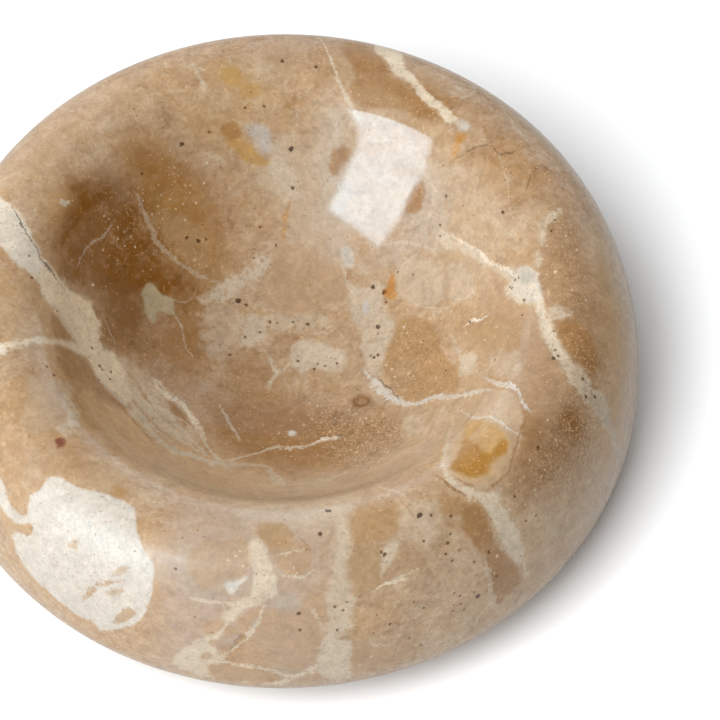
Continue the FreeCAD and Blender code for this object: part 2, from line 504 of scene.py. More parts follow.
# Cement and fragments: tone, softness of the edge in mm, strength, pixels round the edge.
# One that touches an earlier one lies over it.
patches = [
    # left vein and what lies along it
    ("vein", 0.35, 0.95, [(-6, 196), (5, 200), (14, 206), (20, 215), (28, 228), (35, 243), (40, 255),
        (48, 263), (55, 272), (62, 281), (70, 289), (80, 297), (88, 302), (94, 310), (98, 322), (100, 335),
        (101, 347), (110, 352), (121, 360), (128, 370), (126, 382), (132, 396), (126, 404), (114, 396),
        (105, 388), (98, 380), (92, 368), (85, 357), (78, 347), (70, 335), (62, 322), (58, 315), (52, 306),
        (45, 298), (38, 284), (30, 273), (18, 264), (10, 255), (0, 243), (-6, 238)]),
    ("warmGrey", 1.0, 0.7, [(42, 268), (58, 276), (72, 290), (88, 302), (96, 318), (100, 345), (118, 358),
        (126, 372), (124, 396), (108, 390), (94, 370), (80, 350), (64, 326), (50, 304), (40, 286)]),
    ("warmGrey", 1.3, 0.55, [(112, 354), (126, 360), (140, 370), (150, 380), (162, 394), (160, 408),
        (146, 412), (132, 406), (124, 390), (126, 374)]),
    ("vein", 0.35, 0.95, [(-6, 347), (0, 345), (10, 341), (25, 339), (40, 337), (52, 339), (66, 341),
        (76, 342), (84, 350), (85, 357), (75, 352), (62, 346), (50, 344), (40, 343), (25, 344), (12, 347),
        (0, 352), (-6, 354)]),
    ("brown", 0.4, 0.55, [(55, 345), (64, 347), (76, 353), (86, 358), (92, 368), (98, 380), (108, 390),
        (120, 401), (128, 409), (120, 410), (108, 403), (98, 396), (88, 386), (76, 380), (66, 378),
        (60, 366), (57, 355)]),
    ("straw", 0.8, 0.7, [(88, 388), (98, 398), (110, 406), (128, 411), (136, 420), (146, 434), (154, 448),
        (157, 458), (146, 467), (134, 458), (118, 446), (102, 432), (90, 418), (82, 404), (80, 394)]),
    ("buff", 1.2, 0.6, [(28, 380), (40, 378), (60, 382), (64, 398), (62, 415), (55, 428), (42, 432),
        (30, 425), (26, 405)]),
    ("pale", 0.6, 0.6, [(60, 382), (66, 384), (72, 392), (74, 402), (80, 408), (78, 420), (74, 430),
        (66, 436), (60, 434), (56, 428), (64, 418), (65, 404), (62, 392)]),
    ("gold", 1.4, 0.5, [(62, 455), (90, 462), (120, 470), (135, 480), (128, 488), (120, 500), (112, 497),
        (100, 490), (82, 485), (68, 478), (55, 474), (50, 464)]),
    # white patch and its chips
    ("white", 0.3, 1.0, [(50, 477), (62, 478), (70, 483), (80, 488), (100, 492), (118, 499), (125, 502),
        (133, 507), (136, 515), (137, 530), (140, 541), (143, 548), (150, 556), (153, 570), (152, 590),
        (148, 605), (142, 617), (135, 624), (118, 629), (102, 630), (95, 624), (88, 620), (80, 617),
        (72, 611), (62, 603), (55, 598), (47, 590), (40, 584), (33, 576), (27, 570), (22, 562), (17, 552),
        (14, 542), (13, 534), (20, 532), (26, 536), (31, 534), (33, 528), (30, 523), (20, 524), (10, 519),
        (4, 511), (-2, 500), (-8, 484), (0, 478), (3, 485), (7, 497), (12, 507), (20, 514), (26, 515),
        (28, 505), (30, 495), (36, 492), (42, 487), (47, 480)]),
    ("buff", 0.3, 0.9, [(67, 545), (73, 541), (78, 537), (77, 550), (72, 548)]),
    ("buff", 0.3, 0.9, [(113, 575), (118, 568), (128, 566), (126, 572), (120, 575)]),
    ("buff", 0.3, 0.85, [(105, 594), (108, 590), (123, 589), (122, 593), (112, 596)]),
    ("gold", 0.3, 0.8, [(113, 623), (119, 613), (126, 607), (136, 613), (130, 619), (120, 624)]),
    # hollow
    ("olive", 0.3, 0.95, [(143, 290), (148, 283), (152, 283), (157, 290), (163, 294), (170, 297),
        (173, 303), (174, 313), (168, 314), (160, 312), (156, 314), (155, 320), (152, 322), (148, 317),
        (145, 308), (144, 300)]),
    ("gold", 1.2, 0.6, [(162, 215), (180, 213), (195, 222), (205, 232), (212, 245), (208, 262), (198, 268),
        (186, 262), (175, 250), (166, 236)]),
    ("cement", 0.6, 0.9, [(203, 295), (215, 287), (228, 279), (245, 271), (258, 259), (266, 257),
        (273, 262), (268, 272), (252, 282), (240, 292), (226, 301), (210, 305)]),
    ("cement", 1.0, 0.45, [(204, 312), (222, 305), (240, 312), (246, 330), (238, 348), (224, 362),
        (208, 356), (203, 335)]),
    ("cement", 0.6, 0.8, [(242, 322), (252, 316), (264, 320), (270, 334), (262, 346), (248, 346),
        (240, 336)]),
    ("cement", 0.6, 0.6, [(262, 316), (285, 313), (306, 313), (324, 317), (322, 328), (300, 330),
        (280, 328), (266, 326)]),
    ("tan", 0.8, 0.7, [(276, 252), (290, 246), (312, 250), (332, 264), (342, 282), (350, 292), (342, 302),
        (326, 306), (318, 316), (300, 312), (282, 312), (270, 306), (268, 285)]),
    ("pale", 1.2, 0.4, [(242, 330), (252, 322), (266, 326), (270, 338), (260, 346), (248, 344)]),
    ("cream", 0.6, 0.85, [(292, 344), (310, 340), (330, 346), (344, 354), (342, 366), (328, 372),
        (312, 369), (300, 372), (290, 362)]),
    ("pale", 0.6, 0.9, [(352, 292), (362, 290), (372, 286), (380, 283), (384, 290), (382, 302), (388, 312),
        (394, 322), (394, 335), (388, 348), (384, 358), (380, 372), (372, 375), (366, 368), (362, 352),
        (360, 338), (356, 325), (350, 312)]),
    ("white", 0.4, 0.9, [(341, 250), (347, 247), (353, 252), (354, 262), (350, 268), (344, 262)]),
    ("grey", 0.6, 0.8, [(344, 253), (348, 252), (351, 257), (350, 263), (346, 260)]),
    ("brown", 0.5, 0.55, [(333, 149), (340, 147), (348, 149), (347, 160), (340, 172), (334, 177),
        (330, 165)]),
    ("ember", 0.3, 0.8, [(386, 288), (390, 281), (393, 275), (395, 284), (396, 293), (393, 299), (387, 298),
        (383, 293)]),
    ("red", 0.2, 0.8, [(382, 292), (385, 290), (387, 292), (384, 294)]),
    ("peach", 0.5, 0.75, [(398, 268), (405, 262), (415, 259), (428, 260), (440, 262), (444, 275),
        (446, 290), (442, 300), (430, 305), (415, 305), (405, 300), (399, 290), (396, 278)]),
    ("peach", 0.5, 0.8, [(447, 268), (455, 262), (464, 265), (470, 273), (471, 285), (468, 297), (458, 302),
        (450, 300), (449, 285)]),
    ("rust", 0.5, 0.85, [(396, 328), (402, 320), (415, 317), (428, 322), (436, 332), (440, 345), (446, 358),
        (456, 368), (458, 380), (455, 392), (445, 396), (430, 400), (415, 402), (402, 399), (390, 385),
        (384, 372), (386, 355), (392, 340)]),
    ("gold", 0.6, 0.8, [(478, 330), (490, 318), (503, 315), (515, 320), (520, 335), (517, 348), (505, 352),
        (490, 352), (480, 345)]),
    ("cream", 0.5, 0.85, [(459, 360), (465, 354), (474, 353), (477, 360), (474, 370), (466, 374),
        (460, 370)]),
    ("deep", 0.35, 0.95, [(350, 402), (356, 396), (364, 395), (371, 400), (367, 406), (357, 408)]),
    ("gold", 0.3, 0.5, [(357, 402), (360, 399), (365, 399), (367, 402), (363, 404), (358, 404)]),
    # right vein
    ("cream", 0.45, 0.95, [(438, 228), (450, 235), (460, 242), (470, 248), (480, 252), (487, 259),
        (497, 264), (507, 268), (515, 275), (520, 270), (530, 268), (537, 272), (539, 282), (540, 292),
        (544, 305), (548, 318), (553, 330), (557, 340), (563, 348), (568, 357), (562, 364), (553, 355),
        (546, 343), (541, 328), (537, 315), (532, 305), (522, 303), (510, 298), (505, 290), (508, 282),
        (500, 274), (490, 268), (480, 262), (468, 254), (456, 248), (446, 250), (440, 243)]),
    ("pale", 0.4, 0.8, [(557, 342), (563, 348), (570, 358), (580, 364), (588, 374), (595, 386), (603, 396),
        (609, 408), (610, 420), (614, 430), (618, 440), (621, 455), (617, 455), (613, 444), (606, 432),
        (600, 421), (592, 411), (585, 402), (577, 390), (568, 378), (560, 366), (554, 354)]),
    ("white", 0.5, 0.6, [(505, 270), (515, 268), (528, 266), (536, 272), (540, 284), (542, 298), (532, 302),
        (520, 298), (510, 292), (512, 282)]),
    ("grey", 0.7, 0.85, [(519, 275), (524, 270), (532, 271), (534, 278), (528, 284), (521, 282)]),
    ("pale", 0.5, 0.85, [(533, 266), (536, 250), (540, 240), (541, 228), (545, 219), (552, 214), (560, 213),
        (556, 217), (549, 223), (547, 232), (545, 245), (541, 258), (538, 268)]),
    ("pale", 0.5, 0.8, [(544, 308), (552, 306), (562, 308), (570, 314), (563, 319), (552, 318)]),
    ("brown", 0.7, 0.85, [(558, 323), (565, 320), (575, 322), (585, 328), (592, 336), (596, 350),
        (598, 365), (592, 378), (585, 370), (575, 360), (566, 350), (561, 340)]),
    ("gold", 0.9, 0.55, [(543, 262), (552, 258), (562, 262), (566, 275), (562, 290), (552, 290),
        (545, 282)]),
    ("deep", 1.4, 0.7, [(560, 415), (570, 408), (578, 415), (583, 428), (580, 440), (572, 436),
        (563, 425)]),
    # ringed fragment
    ("buff", 0.4, 0.85, [(448, 432), (455, 425), (462, 412), (475, 402), (485, 395), (497, 391), (510, 391),
        (518, 400), (522, 412), (521, 425), (520, 440), (516, 455), (512, 468), (505, 478), (496, 486),
        (484, 490), (470, 492), (460, 488), (450, 480), (445, 465), (446, 448)]),
    ("golden", 1.0, 0.55, [(455, 445), (470, 432), (490, 428), (505, 436), (512, 450), (511, 464),
        (502, 477), (490, 485), (474, 487), (460, 480), (452, 468)]),
    ("tan", 1.0, 0.45, [(508, 394), (518, 402), (521, 424), (512, 428), (506, 412)]),
    ("tan", 0.8, 0.75, [(511, 428), (520, 432), (517, 456), (510, 472), (499, 484), (486, 490), (491, 481),
        (502, 471), (508, 457), (510, 445)]),
    ("amber", 0.7, 0.9, [(466, 424), (478, 420), (492, 422), (502, 430), (508, 441), (506, 452), (496, 460),
        (488, 474), (472, 478), (458, 474), (451, 466), (455, 456), (462, 444)]),
    ("yolk", 0.5, 0.85, [(460, 448), (465, 440), (475, 442), (482, 450), (492, 452), (500, 440), (506, 440),
        (508, 448), (504, 454), (496, 458), (490, 464), (484, 475), (470, 477), (460, 473), (452, 470),
        (450, 466), (455, 460)]),
    # near rim
    ("cream", 0.35, 0.9, [(475, 494), (485, 491), (497, 492), (500, 500), (506, 510), (512, 520),
        (518, 530), (522, 542), (525, 555), (524, 562), (528, 572), (530, 576), (526, 576), (520, 566),
        (514, 560), (508, 552), (502, 545), (498, 532), (492, 520), (485, 508), (478, 500)]),
    ("brown", 0.5, 0.8, [(462, 510), (470, 503), (480, 505), (488, 522), (495, 540), (503, 552), (513, 563),
        (520, 575), (518, 585), (508, 595), (498, 605), (492, 600), (490, 585), (486, 570), (480, 555),
        (470, 540), (463, 528)]),
    ("rust", 0.7, 0.7, [(352, 510), (362, 502), (378, 499), (392, 498), (400, 505), (400, 520), (396, 535),
        (385, 541), (370, 543), (355, 543), (350, 530)]),
    ("gold", 0.4, 0.75, [(353, 548), (362, 545), (375, 547), (381, 550), (380, 562), (380, 575), (380, 585),
        (378, 592), (365, 595), (357, 592), (353, 585), (351, 570)]),
    ("rust", 0.6, 0.75, [(440, 497), (450, 496), (462, 500), (464, 508), (460, 515), (448, 515),
        (440, 512)]),
    ("cream", 0.4, 0.6, [(383, 550), (392, 543), (400, 541), (398, 552), (393, 562), (386, 572), (381, 578),
        (382, 562)]),
    ("pale", 0.6, 0.5, [(403, 422), (415, 417), (424, 424), (421, 434), (410, 438), (403, 432)]),
    ("pale", 0.7, 0.8, [(338, 520), (346, 522), (350, 540), (349, 560), (348, 575), (352, 590), (356, 600),
        (352, 615), (350, 635), (348, 660), (350, 675), (340, 680), (322, 678), (318, 665), (320, 650),
        (325, 635), (328, 620), (327, 605), (327, 590), (332, 575), (336, 560), (336, 540)]),
    ("cream", 0.45, 0.9, [(248, 540), (258, 538), (264, 545), (268, 558), (273, 570), (277, 582),
        (275, 595), (262, 602), (255, 606), (245, 610), (235, 620), (225, 630), (215, 645), (218, 655),
        (230, 655), (222, 662), (210, 662), (205, 670), (212, 678), (195, 675), (180, 668), (172, 662),
        (182, 650), (190, 645), (198, 640), (205, 635), (215, 625), (224, 615), (232, 608), (238, 602),
        (248, 596), (252, 585), (252, 570), (248, 555)]),
    ("white", 0.3, 0.95, [(224, 582), (234, 581), (243, 577), (247, 572), (248, 577), (240, 585),
        (236, 592), (230, 594), (226, 588)]),
    ("tan", 0.35, 0.9, [(210, 666), (222, 663), (240, 667), (258, 669), (270, 671), (275, 677), (262, 679),
        (240, 680), (222, 678), (213, 672)]),
    ("tan", 0.4, 0.8, [(268, 545), (285, 545), (297, 538), (304, 545), (311, 552), (310, 566), (302, 575),
        (288, 575), (280, 568), (274, 556)]),
    ("gold", 0.35, 0.9, [(257, 527), (262, 523), (275, 522), (285, 524), (290, 530), (293, 538), (290, 547),
        (280, 548), (270, 546), (262, 540), (257, 534)]),
    ("tan", 0.4, 0.7, [(226, 659), (235, 653), (248, 640), (258, 622), (264, 612), (285, 607), (298, 608),
        (303, 604), (316, 612), (322, 625), (323, 640), (322, 652), (312, 662), (298, 672), (290, 668),
        (275, 667), (260, 663), (245, 660)]),
    ("tan", 0.35, 0.75, [(238, 618), (246, 612), (255, 607), (263, 606), (258, 616), (252, 624), (245, 631),
        (238, 634), (235, 626)]),
    ("tan", 0.4, 0.7, [(304, 600), (312, 595), (322, 597), (326, 608), (325, 622), (320, 618), (312, 612),
        (304, 607)]),
    ("tan", 0.4, 0.75, [(400, 545), (412, 544), (423, 548), (424, 560), (415, 568), (402, 575), (390, 581),
        (381, 583), (386, 572), (393, 562)]),
    ("tan", 0.4, 0.75, [(352, 645), (365, 641), (390, 640), (410, 640), (412, 650), (400, 660), (380, 668),
        (358, 675), (351, 668)]),
    ("tan", 0.3, 0.7, [(312, 678), (318, 674), (326, 673), (331, 676), (326, 680), (316, 681)]),
    ("cream", 0.6, 0.7, [(322, 640), (336, 636), (350, 642), (350, 672), (340, 680), (322, 678),
        (319, 660)]),
    ("brown", 0.25, 0.6, [(381, 633), (387, 630), (394, 629), (390, 634), (384, 636)]),
    ("brown", 0.25, 0.6, [(338, 638), (345, 635), (351, 637), (346, 641)]),
    # far rim
    ("brown", 0.6, 0.75, [(345, 42), (362, 45), (378, 55), (386, 65), (391, 75), (400, 80), (408, 90),
        (418, 100), (430, 110), (436, 116), (430, 120), (415, 115), (400, 110), (380, 108), (365, 107),
        (352, 100), (350, 88), (356, 80), (352, 65), (345, 55)]),
    ("gold", 0.8, 0.6, [(353, 90), (365, 84), (385, 91), (400, 98), (412, 108), (400, 109), (380, 106),
        (362, 104)]),
    ("vein", 0.35, 0.95, [(378, 44), (392, 47), (402, 53), (403, 62), (408, 70), (417, 78), (420, 84),
        (428, 92), (438, 100), (447, 108), (453, 116), (457, 119), (452, 123), (443, 119), (435, 110),
        (427, 103), (420, 97), (415, 88), (408, 82), (400, 79), (393, 73), (388, 63), (383, 56),
        (375, 50)]),
    ("tan", 0.9, 0.6, [(407, 62), (416, 64), (430, 72), (445, 82), (455, 92), (450, 97), (438, 97),
        (427, 88), (417, 76)]),
    ("white", 0.5, 0.85, [(455, 122), (460, 120), (467, 121), (470, 127), (465, 131), (458, 128)]),
    ("orange", 0.5, 0.8, [(456, 134), (462, 133), (466, 138), (461, 142), (458, 150), (455, 158),
        (453, 150), (455, 142)]),
    ("amber", 0.5, 0.9, [(222, 70), (232, 66), (240, 72), (242, 82), (235, 86), (225, 82)]),
    ("ochre", 0.45, 0.75, [(222, 124), (235, 122), (240, 130), (242, 138), (232, 141), (224, 136)]),
    ("amber", 0.45, 0.95, [(228, 142), (240, 139), (250, 144), (256, 152), (265, 158), (272, 161),
        (266, 166), (254, 165), (244, 160), (236, 152)]),
    ("crystal", 0.7, 0.8, [(246, 126), (255, 124), (265, 126), (270, 135), (272, 148), (268, 153),
        (259, 148), (252, 138)]),
    ("cement", 0.8, 0.7, [(274, 140), (286, 142), (285, 160), (298, 175), (300, 196), (286, 200),
        (276, 186), (270, 168)]),
    ("brown", 0.4, 0.4, [(334, 150), (342, 147), (349, 150), (347, 158), (340, 163), (337, 172), (333, 175),
        (330, 168), (332, 158)]),
    ("brown", 0.5, 0.85, [(406, 202), (410, 192), (416, 184), (423, 183), (425, 192), (423, 203),
        (418, 212), (408, 213)]),
    # small pieces over those above
    ("white", 0.5, 0.6, [(-6, 198), (8, 204), (20, 214), (30, 232), (38, 248), (42, 262), (38, 275),
        (28, 270), (14, 262), (4, 247), (-6, 240)]),
    ("cement", 0.6, 0.45, [(140, 380), (156, 383), (163, 391), (172, 399), (181, 409), (189, 418),
        (196, 427), (203, 438), (198, 447), (186, 445), (175, 441), (165, 436), (156, 430), (148, 424),
        (140, 417), (130, 406)]),
    ("brown", 0.35, 0.85, [(169, 401), (176, 406), (184, 414), (191, 425), (183, 423), (174, 414)]),
    ("buff", 0.8, 0.6, [(120, 357), (134, 364), (145, 374), (154, 386), (150, 396), (138, 390),
        (126, 376)]),
    ("brown", 0.4, 0.6, [(50, 312), (58, 318), (66, 330), (72, 338), (60, 338), (52, 334), (50, 322)]),
    ("red", 0.25, 0.85, [(55, 440), (60, 436), (66, 441), (64, 446), (58, 447)]),
    ("milk", 0.3, 0.85, [(-3, 346), (3, 344), (7, 349), (3, 354), (-3, 354)]),
    ("white", 0.2, 0.9, [(288, 432), (292, 430), (297, 432), (295, 435), (290, 435)]),
    ("tan", 0.3, 0.85, [(203, 625), (210, 620), (220, 619), (226, 621), (222, 628), (214, 634),
        (206, 636)]),
    ("tan", 0.3, 0.85, [(224, 630), (229, 624), (235, 628), (233, 635), (227, 636)]),
    ("tan", 0.3, 0.8, [(219, 650), (225, 646), (231, 649), (228, 655), (221, 655)]),
    ("tan", 0.3, 0.8, [(201, 655), (207, 651), (213, 655), (209, 660), (203, 660)]),
    ("gold", 0.3, 0.7, [(208, 642), (213, 638), (219, 642), (214, 647)]),
    ("tan", 0.7, 0.55, [(205, 540), (245, 540), (250, 560), (248, 575), (225, 580), (205, 590), (190, 575),
        (185, 560), (195, 548)]),
    ("pale", 1.2, 0.45, [(402, 505), (420, 500), (440, 508), (442, 530), (430, 545), (410, 542),
        (400, 525)]),
    ("grey", 1.0, 0.45, [(276, 598), (286, 594), (298, 596), (301, 606), (292, 613), (279, 610)]),
    ("gold", 1.0, 0.6, [(460, 325), (470, 318), (482, 322), (482, 340), (470, 346), (460, 340)]),
    ("pale", 0.8, 0.55, [(488, 356), (500, 351), (518, 353), (522, 365), (512, 376), (496, 374)]),
    ("crystal", 0.3, 0.85, [(362, 304), (367, 302), (370, 307), (368, 313), (363, 312)]),
    ("amber", 0.5, 0.75, [(240, 86), (256, 84), (262, 92), (255, 98), (243, 96)]),
    ("brown", 0.4, 0.75, [(136, 149), (142, 147), (146, 152), (142, 157), (137, 156)]),
    ("pale", 0.25, 0.9, [(57, 201), (62, 198), (67, 201), (67, 206), (61, 206)]),
    ("ochre", 0.5, 0.5, [(112, 494), (117, 488), (124, 488), (127, 492), (121, 498), (114, 498)]),
]

# Veins and hairlines: tone, strength, pixel and width in pixels along the line.
lines = [
    # left vein and the hollow below it
    ("dark", 0.7, [(15, 211, 1), (20, 222, 1.5), (28, 235, 1.5), (37, 249, 1), (42, 261, 1.5),
        (49, 268, 2.5), (55, 277, 1.5), (60, 283, 1)]),
    ("cream", 0.8, [(159, 383, 3), (168, 394, 5), (178, 400, 7), (187, 410, 7), (195, 421, 6),
        (203, 436, 4), (208, 448, 3), (220, 460, 3)]),
    ("pale", 0.7, [(140, 412, 4), (150, 428, 4), (165, 444, 4), (182, 452, 5), (200, 458, 4),
        (220, 464, 3)]),
    ("pale", 0.7, [(218, 462, 6), (232, 466, 7), (248, 465, 4), (262, 466, 3), (268, 470, 4), (274, 476, 7),
        (282, 482, 3)]),
    ("cream", 0.55, [(174, 314, 2), (181, 325, 2.5), (184, 336, 2), (186, 347, 2), (192, 356, 1.5)]),
    ("pale", 0.5, [(138, 198, 4), (148, 222, 5), (158, 242, 6), (170, 256, 6), (184, 266, 5), (198, 276, 4),
        (216, 281, 3)]),
    ("pale", 0.55, [(80, 261, 1.5), (85, 250, 2), (92, 243, 2), (101, 238, 2.5), (107, 231, 2),
        (112, 223, 1.5)]),
    # middle of the hollow
    ("pale", 0.75, [(342, 266, 5), (347, 281, 6), (355, 293, 6)]),
    ("orange", 0.55, [(289, 204, 3), (286, 220, 7), (283, 238, 4)]),
    ("cream", 0.6, [(387, 244, 2), (398, 242, 3), (412, 243, 3.5), (424, 246, 3.5), (431, 249, 3)]),
    ("cream", 0.5, [(400, 268, 2), (407, 261, 2), (418, 253, 2)]),
    ("cream", 0.6, [(462, 299, 2), (469, 297, 2.5), (474, 289, 2)]),
    ("cream", 0.5, [(418, 305, 1.5), (430, 308, 2), (444, 308, 1.5)]),
    ("pale", 0.6, [(452, 338, 3), (458, 350, 5), (463, 362, 6), (461, 374, 4)]),
    # branch to the ringed fragment
    ("white", 0.9, [(366, 374, 3), (372, 380, 8), (380, 388, 9), (390, 397, 8), (400, 402, 6),
        (410, 404, 5), (420, 402, 4.5), (432, 398, 5), (445, 396, 6), (458, 396, 5), (470, 393, 4),
        (480, 391, 3), (490, 390, 2)]),
    ("white", 0.8, [(490, 380, 3), (500, 384, 5), (508, 385, 6), (515, 388, 6), (519, 394, 5),
        (522, 402, 4), (528, 409, 3)]),
    ("cream", 0.75, [(452, 425, 2), (448, 440, 4), (444, 455, 5), (444, 470, 5), (450, 480, 5),
        (460, 487, 7), (470, 492, 10), (478, 496, 8)]),
    ("white", 0.75, [(464, 413, 2), (472, 417, 2.5), (482, 418, 1.5), (492, 417, 1.5), (500, 422, 3),
        (510, 430, 2.5), (518, 435, 1.5)]),
    ("deep", 0.6, [(440, 478, 1.5), (448, 484, 3), (456, 490, 3), (463, 494, 2)]),
    ("deep", 0.5, [(523, 424, 2), (518, 437, 3), (514, 456, 3), (507, 474, 3), (490, 489, 3)]),
    # near rim
    ("pale", 0.6, [(484, 560, 4), (490, 580, 6), (492, 600, 6), (497, 611, 4)]),
    ("cream", 0.6, [(195, 599, 3), (208, 601, 3.5), (222, 603, 4), (236, 604, 5)]),
    ("cream", 0.85, [(208, 662, 5), (225, 662, 4.5), (240, 665, 4.5), (260, 668, 4.5), (275, 672, 4),
        (291, 676, 3)]),
    ("cream", 0.85, [(268, 684, 3), (283, 682, 4), (300, 675, 4), (315, 668, 6), (326, 660, 8)]),
    ("cream", 0.7, [(215, 660, 4), (232, 650, 3), (246, 638, 4), (256, 626, 4), (264, 608, 4)]),
    ("cream", 0.55, [(382, 586, 2), (395, 579, 2.5), (410, 573, 2), (420, 568, 1.5)]),
    # far rim
    ("cream", 0.8, [(321, 40, 1), (327, 50, 1.5), (331, 60, 3), (335, 72, 3.5), (340, 85, 3), (345, 95, 3),
        (352, 107, 3.5), (358, 117, 3)]),
    ("dark", 0.45, [(460, 156, 2), (470, 150, 1.5), (480, 147, 2), (492, 146, 1.5), (500, 154, 3),
        (512, 152, 3)]),
    ("dark", 0.35, [(528, 184, 1.5), (533, 171, 2.5), (540, 165, 3), (549, 169, 1.5)]),
    ("cream", 0.4, [(500, 156, 2), (503, 168, 2), (507, 180, 2), (509, 197, 1.5)]),
    ("cream", 0.7, [(430, 180, 3), (434, 190, 5), (433, 202, 5), (430, 215, 3)]),
    ("pale", 0.6, [(194, 66, 3), (200, 78, 5), (207, 92, 4)]),
    ("pale", 0.45, [(452, 92, 3), (462, 97, 4), (472, 94, 4), (474, 87, 4), (466, 81, 2)]),
    ("pale", 0.4, [(495, 95, 2), (505, 112, 3), (518, 130, 3), (530, 145, 2)]),
    # fine strands over those above
    ("cream", 0.8, [(62, 318, 2.5), (68, 328, 3), (75, 338, 3)]),
    ("cream", 0.8, [(146, 404, 4), (158, 416, 4), (170, 428, 3.5), (183, 440, 3), (200, 452, 2)]),
    ("cream", 0.7, [(154, 400, 4), (165, 411, 4), (176, 424, 3), (190, 438, 2.5), (206, 454, 2)]),
    ("cream", 0.8, [(134, 408, 3), (146, 424, 5), (158, 440, 4), (172, 450, 4), (190, 456, 3.5),
        (212, 463, 3)]),
    ("cream", 0.6, [(158, 420, 2), (170, 416, 2), (182, 420, 2), (190, 428, 1.5)]),
    ("cream", 0.6, [(150, 432, 2), (165, 431, 2), (180, 434, 2), (192, 444, 1.5)]),
    ("cream", 0.7, [(5, 352, 3), (14, 349, 3), (25, 347, 2)]),
    ("cream", 0.75, [(232, 460, 2), (250, 455, 2), (262, 452, 2.5), (270, 448, 3), (285, 447, 3),
        (303, 446, 3.5), (318, 442, 3), (340, 438, 2)]),
    ("pale", 0.7, [(222, 410, 3), (230, 424, 4), (238, 438, 3)]),
    ("pale", 0.6, [(252, 488, 2), (258, 494, 3), (264, 500, 2)]),
    ("pale", 0.6, [(270, 360, 5), (275, 370, 4), (268, 385, 3)]),
    ("tan", 0.85, [(86, 596, 4), (92, 590, 7), (98, 585, 5)]),
    ("tan", 0.8, [(106, 584, 4), (112, 582, 4.5), (118, 582, 3)]),
    ("milk", 0.95, [(469, 323, 1.5), (474, 320, 3), (479, 321, 2.5), (485, 317, 2)]),
    ("dark", 0.75, [(381, 381, 1.5), (386, 386, 2), (391, 389, 1.2), (397, 397, 1.5)]),
    ("cream", 0.75, [(108, 388, 2), (122, 402, 3), (134, 416, 3), (146, 428, 2.5), (158, 438, 2)]),
    ("cream", 0.65, [(118, 388, 2), (130, 400, 2.5), (142, 414, 3), (154, 426, 2.5), (168, 436, 2)]),
    ("pale", 0.75, [(130, 388, 3), (142, 402, 3), (152, 414, 3), (164, 426, 2.5), (178, 438, 2)]),
    ("pale", 0.7, [(140, 384, 3), (150, 396, 3), (160, 410, 3), (172, 422, 3), (186, 436, 2)]),
    ("brown", 0.6, [(112, 398, 1.5), (126, 412, 2), (138, 426, 2), (150, 438, 1.5)]),
    ("brown", 0.5, [(136, 404, 1.5), (148, 418, 2), (160, 430, 2), (174, 440, 1.5)]),
    ("brown", 0.5, [(128, 372, 1.5), (138, 384, 2), (146, 398, 2), (156, 412, 1.5)]),
    ("vein", 0.85, [(157, 384, 4), (163, 393, 5), (170, 397, 5), (178, 401, 5), (186, 410, 5),
        (193, 420, 5), (200, 428, 3)]),
    ("milk", 0.6, [(456, 237, 3), (463, 242, 4.5), (470, 247, 4.5), (478, 250, 4), (483, 257, 4),
        (490, 262, 4), (500, 266, 4), (508, 270, 5), (515, 275, 5)]),
    ("vein", 0.4, [(534, 288, 6), (540, 300, 6), (546, 315, 7), (552, 330, 7), (556, 345, 6),
        (562, 356, 4)]),
    ("deep", 0.5, [(461, 480, 1.5), (466, 483, 3), (471, 485, 1.5)]),
    ("brown", 0.5, [(402, 502, 1), (407, 508, 1.5), (412, 515, 1.5)]),
    ("cream", 0.5, [(376, 484, 2), (384, 489, 3), (394, 491, 3), (403, 495, 3)]),
    ("vein", 0.85, [(380, 587, 1.5), (388, 584, 2.5), (396, 581, 2.5), (403, 580, 2)]),
    ("cream", 0.6, [(284, 554, 2), (291, 552, 3), (299, 551, 2)]),
    ("cream", 0.7, [(288, 576, 3), (296, 577, 3), (304, 576, 2.5), (312, 572, 2)]),
    ("brown", 0.6, [(300, 536, 1), (304, 542, 1.5), (309, 549, 1.5)]),
    ("pale", 0.7, [(314, 613, 4), (318, 620, 5), (322, 628, 4)]),
    ("cream", 0.5, [(373, 644, 2), (380, 646, 3), (388, 645, 2)]),
    ("cream", 0.4, [(176, 301, 1.5), (186, 302, 2), (193, 297, 1.5), (196, 288, 1.2)]),
    ("pale", 0.4, [(106, 322, 1.2), (110, 330, 1.5), (114, 342, 1.2)]),
    ("cream", 0.5, [(313, 334, 2), (322, 332, 3), (330, 327, 2)]),
    ("cream", 0.6, [(271, 362, 2), (276, 372, 3), (283, 371, 2.5), (290, 363, 1.5)]),
    ("cream", 0.6, [(276, 373, 3), (272, 380, 3), (270, 386, 2)]),
    ("milk", 0.8, [(316, 442, 2), (322, 439, 3), (330, 438, 3), (338, 437, 3)]),
]

